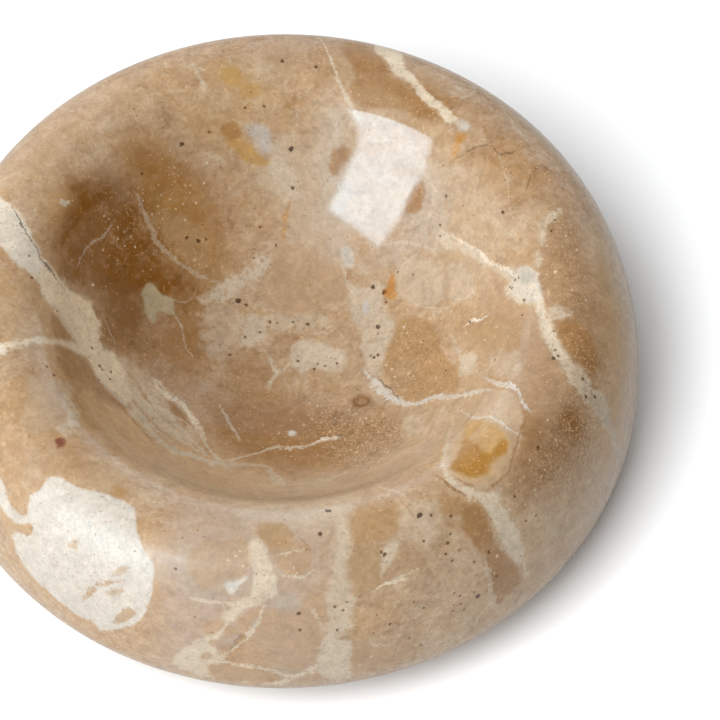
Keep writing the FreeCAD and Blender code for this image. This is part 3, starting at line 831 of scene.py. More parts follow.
# Pits and dark grains: pixel and size in pixels.
grains = [
    (182, 144, 3), (198, 241, 3), (187, 238, 2.2), (206, 239, 2), (291, 149, 3.6), (245, 108, 2),
    (264, 106, 2), (282, 61, 2.6), (316, 67, 2.4), (209, 132, 2), (293, 188, 2.8), (238, 301, 3.6),
    (246, 305, 2), (260, 332, 2), (298, 361, 2), (328, 511, 4), (320, 534, 2.8), (260, 227, 2),
    (142, 174, 2), (378, 327, 3.4), (503, 212, 2.4), (420, 515, 3.6), (384, 554, 2.8), (424, 541, 2),
    (448, 543, 2.4), (452, 561, 2), (478, 596, 3.6), (489, 552, 2.6), (299, 613, 2.8), (300, 630, 2.2),
    (337, 630, 2.2), (343, 610, 2), (515, 496, 2), (538, 448, 2.6), (554, 358, 3), (586, 397, 2.6),
    (595, 397, 2.4), (583, 379, 2), (92, 348, 2), (102, 369, 2.2), (111, 372, 2), (47, 367, 2.2),
    (54, 375, 2.2), (32, 278, 1.8), (29, 256, 1.6), (57, 311, 1.8), (371, 356, 2), (374, 357, 2.6),
    (378, 355, 2), (384, 293, 1.8), (518, 278, 2), (512, 288, 2), (524, 300, 2), (90, 220, 1.8),
    (230, 355, 2), (373, 287, 3), (270, 322, 2), (277, 323, 1.6), (293, 322, 1.4), (308, 324, 2.2),
    (245, 337, 1.6), (276, 245, 1.6), (254, 258, 1.6), (314, 369, 1.8), (325, 366, 1.8), (337, 363, 1.8),
    (318, 364, 1.4), (515, 280, 1.8), (510, 287, 1.8), (522, 315, 1.6), (555, 350, 2), (558, 356, 2.2),
    (554, 331, 1.6), (440, 236, 1.6), (431, 515, 2), (451, 516, 2), (450, 534, 1.8), (459, 550, 1.8),
    (446, 554, 1.8), (474, 562, 1.8), (381, 552, 1.8), (474, 592, 1.8), (454, 593, 1.6), (460, 596, 1.8),
    (461, 604, 1.8), (454, 605, 1.6), (453, 611, 1.8), (464, 610, 1.6), (424, 608, 1.8), (414, 602, 1.6),
    (390, 624, 2.2), (377, 615, 1.4), (374, 633, 1.6), (454, 634, 1.6), (421, 645, 1.8), (410, 638, 1.6),
    (497, 576, 2.2), (514, 592, 1.6), (521, 556, 1.4), (536, 515, 1.8), (526, 521, 1.6), (335, 607, 1.8),
    (347, 602, 1.6), (176, 569, 2), (195, 617, 1.6), (212, 632, 1.4), (398, 272, 1.2), (413, 275, 1.6),
    (446, 196, 2), (495, 360, 1.8), (446, 371, 1.6), (470, 322, 2.2), (440, 225, 1.6), (386, 302, 1.6),
    (555, 220, 1.6), (551, 231, 1.6), (100, 366, 2.4), (110, 379, 1.8), (99, 380, 1.8),
]

# Pale specks: pixel and size in pixels.
specks = [
    (93, 285, 3.2), (35, 210, 2), (104, 216, 2), (109, 219, 2), (118, 227, 2), (124, 232, 2),
    (118, 239, 2.4), (103, 250, 2.4), (125, 246, 2), (118, 260, 1.8), (135, 247, 2), (131, 237, 1.8),
    (152, 214, 2.2), (158, 206, 2), (161, 195, 2), (143, 201, 2.4), (176, 209, 2), (185, 220, 2.2),
    (183, 204, 2), (170, 199, 1.8), (190, 193, 2), (196, 203, 2.2), (207, 163, 2.6), (214, 165, 2),
    (204, 183, 3), (404, 327, 2.8), (407, 333, 2.2), (408, 348, 2), (421, 342, 2.6), (386, 365, 3),
    (392, 369, 2.4), (395, 377, 2.6), (408, 374, 2), (413, 376, 2.2), (425, 384, 2), (398, 386, 2),
    (436, 378, 2), (430, 362, 1.8), (441, 388, 1.8), (446, 372, 1.8), (485, 340, 2), (466, 333, 2),
    (488, 342, 1.8), (475, 312, 2), (497, 327, 1.8), (508, 336, 1.8), (555, 272, 3), (547, 274, 2),
    (547, 246, 2.2), (279, 433, 2), (285, 437, 1.8), (304, 425, 2), (309, 415, 2), (312, 419, 1.8),
    (317, 406, 2), (322, 413, 1.8), (335, 418, 2), (330, 432, 2.2), (360, 420, 2.2), (363, 424, 2),
    (366, 418, 2), (372, 421, 2), (345, 440, 2), (352, 436, 2), (358, 431, 1.8), (350, 450, 1.8),
    (362, 445, 2), (370, 438, 2), (378, 432, 2), (384, 427, 1.8), (366, 455, 1.8), (355, 460, 1.8),
    (375, 450, 2), (383, 442, 1.8), (390, 436, 2), (395, 428, 1.8), (372, 462, 1.6), (388, 452, 1.8),
    (396, 445, 1.8), (402, 436, 1.8), (340, 455, 1.6), (333, 447, 1.8), (318, 455, 1.6), (300, 460, 1.6),
    (497, 556, 3), (494, 573, 2.4), (566, 236, 2), (577, 250, 2), (572, 290, 2), (586, 300, 1.8),
    (570, 428, 2), (548, 420, 2), (540, 432, 1.8), (556, 440, 2), (530, 460, 1.8), (545, 470, 1.8),
    (535, 490, 2), (520, 480, 1.8), (525, 505, 1.8), (470, 560, 2), (440, 556, 2), (433, 600, 1.8),
    (398, 650, 2), (371, 657, 2.6), (360, 665, 2.4), (228, 560, 2), (236, 556, 2), (240, 551, 2),
    (243, 566, 2), (294, 568, 2), (297, 573, 2), (286, 556, 2),
]

veining = {  # millimetres
    "curveStep": 0.4,  # between points of a smoothed line
    "reach": 3.0,  # past a line, as far as it is measured
    "patchRoom": 0.8,  # between patches that share a layer
    "lineRoom": 2.9,
    "patchDepth": 8.0,  # into the stone, and more for a large outline
    "lineDepth": (10.0, 14.0),  # where a line starts to fade, and is gone
    "lineBeside": (0.5, 1.1),
    "lineEnd": 0.4,  # past the last point
    "speckledSoft": 2.0,
    "grainShare": 0.62,  # radius of a grain for the size given
    "speckShare": 0.5,
    "facing": (0.2, -0.1),  # how squarely the stone faces the camera where it is full, and where none is seen
    "farOff": 9.0,
}
batch = 4000  # points measured at once


def faded(given, full, gone):  # 1 at full and before it, 0 from gone on
    return np.clip((gone - given) / (gone - full), 0, 1)


class Block:  # the dish's points by right, up and towards the camera, in millimetres
    def __init__(self, mesh):
        self.mesh = mesh
        self.axes = np.array([photo.right, photo.up, photo.back])
        points = np.empty(len(mesh.vertices) * 3)
        mesh.vertices.foreach_get("co", points)
        self.turned = points.reshape(-1, 3) * 1000 @ self.axes.T
        corners = [v.co for v in mesh.vertices]
        self.tree = BVHTree.FromPolygons(corners, [p.vertices for p in mesh.polygons])

    def shownAt(self, x, y):  # the place on the dish that a pixel shows
        ray = photo.ray(x, y)
        hit = self.tree.ray_cast(photo.place, ray)[0]
        if hit is None:  # just outside the outline
            hit = photo.place - ray * (photo.place.dot(photo.back) / ray.dot(photo.back))
        return np.array(hit) * 1000

    def curve(self, pixels, closed):  # smooth line through pixels, any third value goes along
        points = np.array([[*(self.axes @ self.shownAt(p[0], p[1])), *p[2:]] for p in pixels])
        if closed:
            points = np.vstack([points[-1:], points, points[:2]])
        else:
            points = np.vstack([2 * points[:1] - points[1:2], points, 2 * points[-1:] - points[-2:-1]])
        pieces = []
        for a, b, c, d in zip(points, points[1:], points[2:], points[3:]):
            steps = max(2, int(np.linalg.norm((c - b)[:2]) / veining["curveStep"]))
            t = np.linspace(0, 1, steps, endpoint=False)[:, None]
            pieces.append(b + 0.5 * t * (c - a + t * (2 * a - 5 * b + 4 * c - d + t * (3 * (b - c) + d - a))))
        return np.vstack(pieces)

    def measure(self, line, closed, reach):  # distance of the points near a line, across it and along it
        flat = line[:, :2]
        low, high = flat.min(0) - reach, flat.max(0) + reach
        near = np.nonzero(((self.turned[:, :2] > low) & (self.turned[:, :2] < high)).all(1))[0]
        heading = (np.roll(flat, -1, 0) - np.roll(flat, 1, 0)) if closed else np.gradient(flat, axis=0)
        heading = heading / np.linalg.norm(heading, axis=1)[:, None]
        nearest = np.empty(len(near), int)
        for start in range(0, len(near), batch):
            gaps = self.turned[near[start:start + batch], None, :2] - flat[None]
            nearest[start:start + batch] = (gaps**2).sum(-1).argmin(1)
        gap = self.turned[near, :2] - flat[nearest]
        ahead = heading[nearest]
        across = ahead[:, 0] * gap[:, 1] - ahead[:, 1] * gap[:, 0]
        along = (gap * ahead).sum(1)
        deep = np.abs(self.turned[near, 2] - line[nearest, 2])
        return near, nearest, across, along, deep

    def outlined(self, pixels, reach):  # distance outside an outline, negative inside
        line = self.curve(pixels, True)
        x, y = line[:, 0], line[:, 1]
        turning = np.sign((x * np.roll(y, -1) - y * np.roll(x, -1)).sum())
        near, nearest, across, along, deep = self.measure(line, True, reach)
        depth = veining["patchDepth"] + np.ptp(line[:, :2], axis=0).max() / 2
        return near, np.maximum(-turning * across, deep - depth)

    def store(self, name, kind, values, domain="POINT"):
        attribute = self.mesh.attributes.new(name, kind, domain)
        key = {"FLOAT": "value", "FLOAT_VECTOR": "vector"}[kind]
        attribute.data.foreach_set(key, np.ascontiguousarray(values, np.float32).ravel())


class Layer:  # shapes that keep clear of each other share one set of attributes
    def __init__(self, count):
        self.field = np.zeros((count, 3))  # distance, edge or half width, strength
        self.field[:, 0] = veining["farOff"]
        self.clear = np.full(count, veining["farOff"])  # room left to the nearest shape
        self.tone = np.zeros(count)

    def take(self, near, clear, field, tone):
        mine = clear < self.clear[near]
        taken = near[mine]
        self.clear[taken] = clear[mine]
        self.field[taken] = field[mine]
        self.tone[taken] = (toneNames.index(tone) + 0.5) / len(toneNames)


def stacked(shapes, count, room):  # each shape goes above the shapes listed before it that it touches
    layers = []
    for near, clear, field, tone in shapes:
        level = 0
        for index, layer in enumerate(layers):
            if (np.maximum(layer.clear[near], 0) + np.maximum(clear, 0)).min() < room:
                level = index + 1
        if level == len(layers):
            layers.append(Layer(count))
        layers[level].take(near, clear, field, tone)
    return layers


def stainAndPaintedLightField(block, count):  # colour and cover of all stains, painted shade, painted light and painted sheen, laid over each other
    colour, cover = np.zeros((count, 3)), np.zeros(count)
    for tone, soft, strength, pixels in stainsAndPaintedLight:
        near, out = block.outlined(pixels, soft)
        inside = faded(out, -soft, soft)
        weight = strength * inside * inside * (3 - 2 * inside)
        cover[near] += weight * (1 - cover[near])
        colour[near] += weight[:, None] * (np.array(srgb(*tones[tone])[:3]) - colour[near])
    return colour / np.maximum(cover, 1e-6)[:, None], cover


def speckledField(block, count):
    cover = np.zeros(count)
    soft = veining["speckledSoft"]
    for strength, pixels in speckled:
        near, out = block.outlined(pixels, soft)
        cover[near] = np.maximum(cover[near], strength * faded(out, -soft, soft))
    return cover


def patchShapes(block):
    for tone, soft, strength, pixels in patches:
        near, out = block.outlined(pixels, veining["reach"] + soft)
        field = np.stack([out, np.full(len(near), soft), np.full(len(near), strength)], 1)
        yield near, out - soft, field, tone


def lineShapes(block):
    for tone, strength, pixels in lines:
        line = block.curve(pixels, False)
        near, nearest, across, along, deep = block.measure(line, False, veining["reach"])
        half = line[nearest, 3] * photo.perPixel * 1000 / 2
        past = np.maximum(np.abs(along) - veining["lineEnd"], 0)
        clear = np.abs(across) - half
        fade = faded(clear, *veining["lineBeside"]) * faded(past, 0, 1) * faded(deep, *veining["lineDepth"])
        field = np.stack([across, half, fade * strength], 1)
        yield near, np.maximum(clear, past), field, tone


block = Block(dishMesh)
count = len(dishMesh.vertices)
# stains, with the painted shade, painted light and painted sheen among them, go onto the dish as attributes
stainAndPaintedLightColour, stainCover = stainAndPaintedLightField(block, count)
block.store("stain", "FLOAT_VECTOR", stainAndPaintedLightColour)
block.store("stainCover", "FLOAT", stainCover)
block.store("speckled", "FLOAT", speckledField(block, count))
patchLayers = stacked(patchShapes(block), count, veining["patchRoom"])
lineLayers = stacked(lineShapes(block), count, veining["lineRoom"])
for kind, layers in (("patch", patchLayers), ("line", lineLayers)):
    for index, layer in enumerate(layers):
        block.store(f"{kind}{index}", "FLOAT_VECTOR", layer.field)
        block.store(f"{kind}{index}Tone", "FLOAT", layer.tone)

faceMiddles = np.empty(len(dishMesh.polygons) * 3)
dishMesh.polygons.foreach_get("center", faceMiddles)
faceMiddles = faceMiddles.reshape(-1, 3) * 1000
for kind, spots in (("grain", grains), ("speck", specks)):
    places = np.array([block.shownAt(x, y) for x, y, size in spots])
    radii = np.array([size for x, y, size in spots]) * photo.perPixel * 1000 * veining[kind + "Share"]
    nearest = np.concatenate([
        np.linalg.norm(faceMiddles[start:start + batch, None] - places, axis=2).argmin(1)
        for start in range(0, len(faceMiddles), batch)
    ])
    block.store(f"{kind}Place", "FLOAT_VECTOR", places[nearest], "FACE")
    block.store(f"{kind}Size", "FLOAT", radii[nearest], "FACE")

facing = np.empty(count * 3)
dishMesh.vertex_normals.foreach_get("vector", facing)
block.store("seen", "FLOAT", faded(facing.reshape(-1, 3) @ block.axes[2], *veining["facing"]))
print("veining laid,", len(patchLayers), "patch layers and", len(lineLayers), "line layers")


# stone dish: finish

stoneLook = {  # millimetres, and waves per millimetre
    "drift": (0.12, 3, 0.55),  # noises: scale, octaves, roughness
    "wobble": (0.5, 5, 0.66),
    "cloud": (0.07, 5, 0.6),
    "hiddenCloud": (0.05, 4, 0.55),
    "mottle": (0.33, 5, 0.6),
    "inner": (0.55, 4, 0.62),
    "crumble": (0.8, 5, 0.7),
    "grit": (1.4, 4, 0.7),
    "fine": (1.7, 3, 0.6),
    "chipped": (2.2, 3, 0.6),
    "pepper": (2.4, 3, 0.6),
    "driftReach": 7.0,  # how far the pattern wanders
    "wobbleReach": 2.4,  # how far ragged edges swing
    "broken": (0.4, 0.55),  # where crumbling starts to spare a line, and spares all of it
    "holes": (0.5, 0.62),  # where crumbling starts to hole a patch, and is full
    "groundShares": (0.34, 0.48, 0.18),  # of cloud, mottle and grit
    "groundTones": ((0.36, "brown"), (0.44, "tan"), (0.5, "ground"), (0.57, "buff"), (0.68, "peach")),
    "blotches": (  # scale, octaves, start, full, cover, tone, whether it wanders
        (0.45, 4, 0.51, 0.55, 0.45, "tan", True),
        (0.11, 3, 0.46, 0.56, 0.4, "golden", True),
        (0.85, 4, 0.57, 0.61, 0.4, "brown", False),
        (0.7, 4, 0.58, 0.62, 0.45, "peach", False),
    ),
    "fragments": 0.1,
    "fragmentTones": ((0.0, "brown"), (0.4, "ground"), (0.75, "buff"), (1.0, "peach")),
    "fragmentCover": (0.2, 0.35),  # all over, and more on the hidden sides
    "seamPlaces": (0.09, 0.48, 0.6),  # scale, start, full
    "seamWidth": 0.04,  # as a share of a fragment
    "seamCover": (0.4, 0.4),
    "wispPlaces": (0.1, 0.44, 0.56),
    "wisps": ((0.15, 0.008, 0.62), (0.36, 0.012, 0.62)),  # scale, width, roughness
    "wispCover": 0.5,
    # how far the edges of stains and of painted shade, light and sheen swing
    "stainAndPaintedLightSwing": 0.7,
    "patchHoles": (0.4, 2.0, 0.12, 0.7),  # from and to which raggedness, and how holed
    "hiddenBrown": (0.5, 0.6),  # start, full
    "hiddenCement": (0.44, 0.41),
    "hiddenVeinPlaces": (0.05, 0.42, 0.6),
    "hiddenVeins": 0.028,
    "hiddenVeinWidth": (0.012, 0.05),
    "hiddenThreads": (0.09, 0.009, 0.6),
    "hiddenSwing": {"cement": 0.02, "vein": 0.012},
    "hiddenCover": {"brown": 0.6, "cement": 0.75, "thread": 0.7, "vein": 0.9},
    "cementHoles": 0.6,
    "veinSwing": 0.5,
    "veinEdge": 0.1,
    "veinWhole": (0.36, 0.5, 0.35, 1.0),  # where crumbling thins a vein, and how much stays
    "veinWidths": ((0.35, 0.65, 0.6, 1.3), (0.35, 0.65, 0.4, 1.5)),  # by mottle and by fine noise
    "dotPlaces": (0.1, 0.42, 0.6, 0.3, 1.1),  # scale, start, full, least, most
    "dots": ((2.3, 0.5, 0.34), (1.5, 0.55, 0.3), (0.65, 0.75, 0.22)),  # scale, share left out, largest size
    "dotsFrom": (0.07, 0.2, 0.4, 0.85),  # brightness of the stone, and the dots on it
    "dotsUpTo": (0.24, 0.38, 0.85, 0.2),
    "dotJitter": 0.6,
    "dotCover": 0.55,
    "paleFrom": (0.36, 0.48),  # brightness of pale stone
    "pepperFrom": (0.62, 0.67),
    "pepperCover": (0.15, 0.3),  # all over, and more on pale stone
    "fineSpecks": ((2.3, 0.57, 0.62, 0.6, "straw"), (1.9, 0.6, 0.65, 0.45, "umber")),
    "speckCover": 0.65,
    "pits": (0.9, 0.78, 0.17),  # scale, share left out, largest size
    "pitCover": 0.5,
    "grainCover": 0.85,
    "grainSizes": (0.2, 0.36),  # from brown grains to dark ones
    "grainChips": (3.0, 0.2),
    "edges": {"dot": 0.06, "speck": 0.08, "pit": 0.03, "grain": 0.12},
    "shade": {"mottle": 0.4, "grit": 0.4, "inner": 0.45, "finePale": 0.35},
    "footEdge": (0.05, 0.5),  # above the ground foot
    "worn": (38.0, 54.0),  # radius where the duller outside starts, and is full
    "roughness": {"least": 0.1, "mottle": 0.05, "worn": 0.08, "wornPale": 0.22, "foot": 0.45, "dark": 0.1},
    "coat": (0.55, 0.03),  # of polish, in the hollow and outside
    "bump": (0.25, 0.0002),  # strength, and metres
    "fixed": {"IOR": 1.52, "Specular IOR Level": 0.25, "Coat Roughness": 0.1},
}


class StoneFinish(Finish):  # the colour is laid up step by step
    def __init__(self, s):
        super().__init__("polishedStone")
        self.s = s
        self.mm = self.millimetres()
        parts = self.parts(self.noise(self.mm, *s["drift"], "Color"), "Color")
        drift = dict(enumerate((part - 0.5) * s["driftReach"] for part in parts))
        self.bent = self.vector("ADD", self.mm, self.node("ShaderNodeCombineXYZ", {}, drift))
        self.unseen = 1 - self.attribute("seen", "Fac")
        self.mottle = self.noise(self.bent, *s["mottle"])
        self.grit = self.noise(self.mm, *s["grit"])
        self.fine = self.noise(self.mm, *s["fine"])
        self.crumble = self.noise(self.mm, *s["crumble"])
        self.broken = self.crumble.ramp(*s["broken"])
        self.hole = self.crumble.ramp(*s["holes"])
        self.wobble = (self.noise(self.mm, *s["wobble"]) - 0.5) * s["wobbleReach"]

    def lay(self, cover, tone):
        self.colour = self.mix(cover, self.colour, srgb(*tones[tone]))

    def graded(self, factor, stops):  # tones in a row, blended
        stops = [(place, srgb(*tones[tone])) for place, tone in stops]
        return self.node("ShaderNodeValToRGB", {"stops": stops}, {0: factor})

    def places(self, scale, *ends):  # wide areas that have some of a thing
        return self.noise(self.mm, scale, 2).ramp(*ends)

    def pick(self, place, scale):  # random values of a cell
        return self.parts(self.cells(place, scale, "F1", "Color"), "Color")

    def spot(self, kind):  # distance to the nearest listed spot, and its size
        gap = self.vector("DISTANCE", self.mm, self.attribute(kind + "Place"), output="Value")
        return gap, self.attribute(kind + "Size", "Fac")

    def ground(self):
        s = self.s
        cloudShare, mottleShare, gritShare = s["groundShares"]
        blend = self.noise(self.bent, *s["cloud"]) * cloudShare + self.mottle * mottleShare
        self.colour = self.graded(blend + self.grit * gritShare, s["groundTones"])
        for scale, octaves, start, full, cover, tone, wanders in s["blotches"]:
            place = self.bent if wanders else self.mm
            self.lay(self.noise(place, scale, octaves, 0.6).ramp(start, full) * cover, tone)

    def fragments(self):
        s = self.s
        shown, more = s["fragmentCover"]
        fragment = self.graded(self.pick(self.bent, s["fragments"])[0], s["fragmentTones"])
        self.colour = self.mix(shown + more * self.unseen, self.colour, fragment)
        shown, more = s["seamCover"]
        seam = self.cells(self.bent, s["fragments"], "DISTANCE_TO_EDGE").ramp(0.0, s["seamWidth"], 1.0, 0.0)
        seam = seam * self.places(*s["seamPlaces"]) * self.broken
        self.lay(seam * (shown + more * self.unseen), "pale")
        wispHere = self.places(*s["wispPlaces"]) * self.broken
        for wisp in s["wisps"]:
            self.lay(self.threads(self.bent, *wisp) * wispHere * s["wispCover"], "cream")

    def marks(self):  # the listed stains with the painted shade, light and sheen among them, and the patches over them
        s = self.s
        # stains and painted shade, light and sheen laid over the ground
        swing = 1 + self.wobble * s["stainAndPaintedLightSwing"]
        stainAndPaintedLightMask = (self.attribute("stainCover", "Fac") * swing).least(1.0)
        self.colour = self.mix(stainAndPaintedLightMask, self.colour, self.attribute("stain", "Color"))
        for index in range(len(patchLayers)):
            out, soft, strength = self.parts(self.attribute(f"patch{index}"))
            tint, rough = self.tone(self.attribute(f"patch{index}Tone", "Fac"))
            rough = rough * mostRagged
            mask = (out + self.wobble * rough).ramp(soft, -soft)
            kept = 1 - self.hole * rough.ramp(*s["patchHoles"], "LINEAR")
            self.colour = self.mix(mask * strength * kept, self.colour, tint)

    def hiddenSides(self):  # the same kind of stone where the photograph shows none
        s, swing, cover = self.s, self.s["hiddenSwing"], self.s["hiddenCover"]
        cloud = self.noise(self.bent, *s["hiddenCloud"])
        self.lay(cloud.ramp(*s["hiddenBrown"]) * self.unseen * cover["brown"], "brown")
        cement = (cloud + self.wobble * swing["cement"]).ramp(*s["hiddenCement"])
        cement = cement * (1 - self.hole * s["cementHoles"])
        self.lay(cement * self.unseen * cover["cement"], "cement")
        thread = self.threads(self.bent, *s["hiddenThreads"]) * self.broken
        self.lay(thread * self.unseen * cover["thread"], "cream")
        edge = self.cells(self.bent, s["hiddenVeins"], "DISTANCE_TO_EDGE") + self.wobble * swing["vein"]
        vein = edge.ramp(*s["hiddenVeinWidth"], 1.0, 0.0) * self.places(*s["hiddenVeinPlaces"])
        self.lay(vein * self.unseen * cover["vein"], "cream")

    def veins(self):  # the listed lines
        s = self.s
        byMottle, byFine = s["veinWidths"]
        uneven = self.mottle.ramp(*byMottle, "LINEAR") * self.fine.ramp(*byFine, "LINEAR")
        for index in range(len(lineLayers)):
            across, half, strength = self.parts(self.attribute(f"line{index}"))
            edge = abs(across + self.wobble * s["veinSwing"]) - half * uneven
            mask = edge.inside(s["veinEdge"]) * self.crumble.ramp(*s["veinWhole"])
            tint = self.tone(self.attribute(f"line{index}Tone", "Fac"))[0]
            self.colour = self.mix(mask * strength, self.colour, tint)

    def dots(self):  # pale ones on brown stone, dark ones most on pale stone
        s = self.s
        green = self.parts(self.colour, "Color")[1]
        brownHere = green.ramp(*s["dotsFrom"]).least(green.ramp(*s["dotsUpTo"]))
        brownHere = brownHere * self.places(*s["dotPlaces"])
        self.paleHere = green.ramp(*s["paleFrom"])
        for scale, share, size in s["dots"]:
            gap = self.cells(self.mm, scale) + (self.fine - 0.5) * s["dotJitter"]
            one, two = self.pick(self.mm, scale)[:2]
            dot = (gap - one.ramp(share, 1.0, 0.0, size)).inside(s["edges"]["dot"])
            self.lay(dot * (brownHere - two).ramp(0.0, 0.05) * s["dotCover"], "straw")
        allOver, more = s["pepperCover"]
        pepper = self.noise(self.mm, *s["pepper"]).ramp(*s["pepperFrom"])
        self.lay(pepper * (allOver + more * self.paleHere), "umber")

    def specks(self):
        s = self.s
        here = self.attribute("speckled", "Fac")
        for scale, start, full, cover, tone in s["fineSpecks"]:
            self.lay(self.noise(self.mm, scale, 2, 0.55).ramp(start, full) * here * cover, tone)
        gap, size = self.spot("speck")
        speck = (gap + (self.fine - 0.5) * size * 2 - size).inside(s["edges"]["speck"])
        self.lay(speck * s["speckCover"], "vein")

    def pitsAndGrains(self):
        s = self.s
        scale, share, largest = s["pits"]
        pit = self.cells(self.mm, scale) - self.pick(self.mm, scale)[1].ramp(share, 1.0, 0.0, largest)
        gap, size = self.spot("grain")
        chips, grow = s["grainChips"]
        chipped = (self.noise(self.mm, *s["chipped"]) - 0.5) * chips
        grain = (gap + (chipped - grow) * size - size).inside(s["edges"]["grain"])
        self.dark = (pit.inside(s["edges"]["pit"]) * s["pitCover"]).most(grain * s["grainCover"])
        tone = self.mix(size.ramp(*s["grainSizes"]), srgb(*tones["umber"]), srgb(*tones["dark"]))
        self.colour = self.mix(self.dark, self.colour, tone)

    def polished(self):  # duller outside, ground matt under the foot
        s, shade, rough = self.s, self.s["shade"], self.s["roughness"]
        inner = self.noise(self.bent, *s["inner"])
        light = 1 + (self.mottle - 0.5) * shade["mottle"] + (self.grit - 0.5) * shade["grit"]
        light = light + (inner - 0.5) * shade["inner"] + (self.fine - 0.5) * self.paleHere * shade["finePale"]
        low, high = (dishLow.z * 1000 + edge for edge in s["footEdge"])
        foot = self.parts(self.mm)[2].ramp(low, high, 1.0, 0.0)
        flat = self.vector("MULTIPLY", self.mm, (1.0, 1.0, 0.0))
        worn = self.vector("LENGTH", flat, output="Value").ramp(*s["worn"])
        roughness = rough["least"] + rough["mottle"] * self.mottle
        roughness = roughness + (rough["worn"] + rough["wornPale"] * self.paleHere) * worn
        roughness = roughness + rough["foot"] * foot + rough["dark"] * self.dark
        coat = (1 - foot) * worn.ramp(0.0, 1.0, *s["coat"], "LINEAR")
        strength, height = s["bump"]
        relief = {"Strength": strength, "Distance": height, "Height": 1 - self.dark}
        self.surface({
            "Base Color": self.scaled(self.colour, light),
            "Roughness": roughness,
            "Coat Weight": coat,
            "Normal": self.node("ShaderNodeBump", {}, relief),
            **s["fixed"],
        })


finish = StoneFinish(stoneLook)
finish.ground()
finish.fragments()
finish.marks()
finish.hiddenSides()
finish.veins()
finish.dots()
finish.specks()
finish.pitsAndGrains()
finish.polished()
dishMesh.materials.append(finish.material)
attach(dish, "root")
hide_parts("stone_dish")
print("stone finished,", len(finish.tree.nodes), "nodes")


# felt pads

pad = {
    "sides": 72,
    "rings": 12,  # on each face
    "edge": 0.0004,  # rounding where the felt is cut
    "edgePoints": 5,
    "fuzz": 0.00006,  # height of the matted fibres
    "waistShare": 0.15,  # of the edge, pressed in by the cutter
    "tufts": 2500,  # per metre
    "glueGap": 0.00002,
    "felt": (164, 152, 136),
    "pale": (192, 182, 166),
    "dark": (128, 116, 102),
    "curl": (1.1, 2.0),  # waves per millimetre, and how far fibres curl
    "fibres": ((5.0, 1.0, 3.0), (1.0, 5.0, 3.0), (3.5, 3.5, 1.2)),  # how they are stretched
    "fibreWidth": 0.08,
    "fibreCover": 0.6,
    "mottle": (0.9, 4, 0.6),  # scale, octaves, roughness
    "mottleEnds": (0.35, 0.65),  # dark, full colour
    "heights": (0.7, 0.6),  # of fibres and mottle in the bump
    "bump": (0.6, 0.0003),  # strength, and metres
    "roughness": (0.88, 0.1),  # least, and more with the mottle
    "sheen": 0.35,
}


def padProfile(s, radius, height):  # middle of the underside, round the cut edge, to the middle of the top
    turn = np.linspace(0, math.pi / 2, s["edgePoints"])
    flat = np.linspace(0, radius - s["edge"], s["rings"])[:-1]
    low = np.stack([radius - s["edge"] + s["edge"] * np.sin(turn), s["edge"] * (1 - np.cos(turn))], 1)
    waist = np.array([(radius - s["edge"] * s["waistShare"], height / 2)])
    high = np.stack([low[::-1, 0], height - low[::-1, 1]], 1)
    under = np.stack([flat, np.zeros(len(flat))], 1)
    over = np.stack([flat[::-1], np.full(len(flat), height)], 1)
    return np.vstack([under, low, waist, high, over])


def addPad(s, number):
    low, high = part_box(f"felt_pad_{number}")
    radius = (high.x - low.x) / 2 - s["fuzz"]
    rings = padProfile(s, radius, high.z - low.z - s["glueGap"] - s["fuzz"])
    mesh = turnedMesh(f"feltPad{number}", rings, s["sides"])
    points = np.empty(len(mesh.vertices) * 3)
    mesh.vertices.foreach_get("co", points)
    points = points.reshape(-1, 3)
    middle = np.array([0, 0, rings[:, 1].mean()])
    shift = Vector((number * 9, 0, 0))  # so that no two pads are alike
    tufts = np.array([noise.noise(Vector(p) * s["tufts"] + shift) for p in points])
    out = (points - middle) / np.maximum(np.linalg.norm(points - middle, axis=1), 1e-9)[:, None]
    points = points + out * (tufts.clip(-1, 1) * s["fuzz"])[:, None]
    points += np.array([(low.x + high.x) / 2, (low.y + high.y) / 2, low.z + s["fuzz"]])
    points[:, 2] = points[:, 2].clip(low.z, high.z - s["glueGap"])
    mesh.vertices.foreach_set("co", points.ravel())
    mesh.update()
    made = bpy.data.objects.new(f"feltPad{number}", mesh)
    bpy.context.scene.collection.objects.link(made)
    mesh.materials.append(felt)
    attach(made, "root")
    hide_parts(f"felt_pad_{number}")
    return made


def feltFinish(s):
    finish = Finish("pressedFelt")
    mm = finish.millimetres()
    scale, reach = s["curl"]
    curl = finish.vector("MULTIPLY_ADD", finish.noise(mm, scale, 3, 0.6, "Color"), (reach,) * 3, mm)
    fibres = [finish.threads(finish.vector("MULTIPLY", curl, stretch), 1.0, s["fibreWidth"], 0.6, 3)
              for stretch in s["fibres"]]
    matted = fibres[0].most(fibres[1]).most(fibres[2])
    mottle = finish.noise(mm, *s["mottle"])
    colour = finish.mix(mottle.ramp(*s["mottleEnds"]), srgb(*s["dark"]), srgb(*s["felt"]))
    colour = finish.mix(matted * s["fibreCover"], colour, srgb(*s["pale"]))
    fibreHeight, mottleHeight = s["heights"]
    height = matted * fibreHeight + mottle * mottleHeight
    strength, distance = s["bump"]
    relief = {"Strength": strength, "Distance": distance, "Height": height}
    least, more = s["roughness"]
    finish.surface({
        "Base Color": colour,
        "Roughness": least + more * mottle,
        "Sheen Weight": s["sheen"],
        "Normal": finish.node("ShaderNodeBump", {}, relief),
    })
    return finish.material


felt = feltFinish(pad)
pads = [addPad(pad, number) for number in range(1, 5)]
print("felt pads made,", len(pads[0].data.polygons), "faces each")


# floor, lights and world

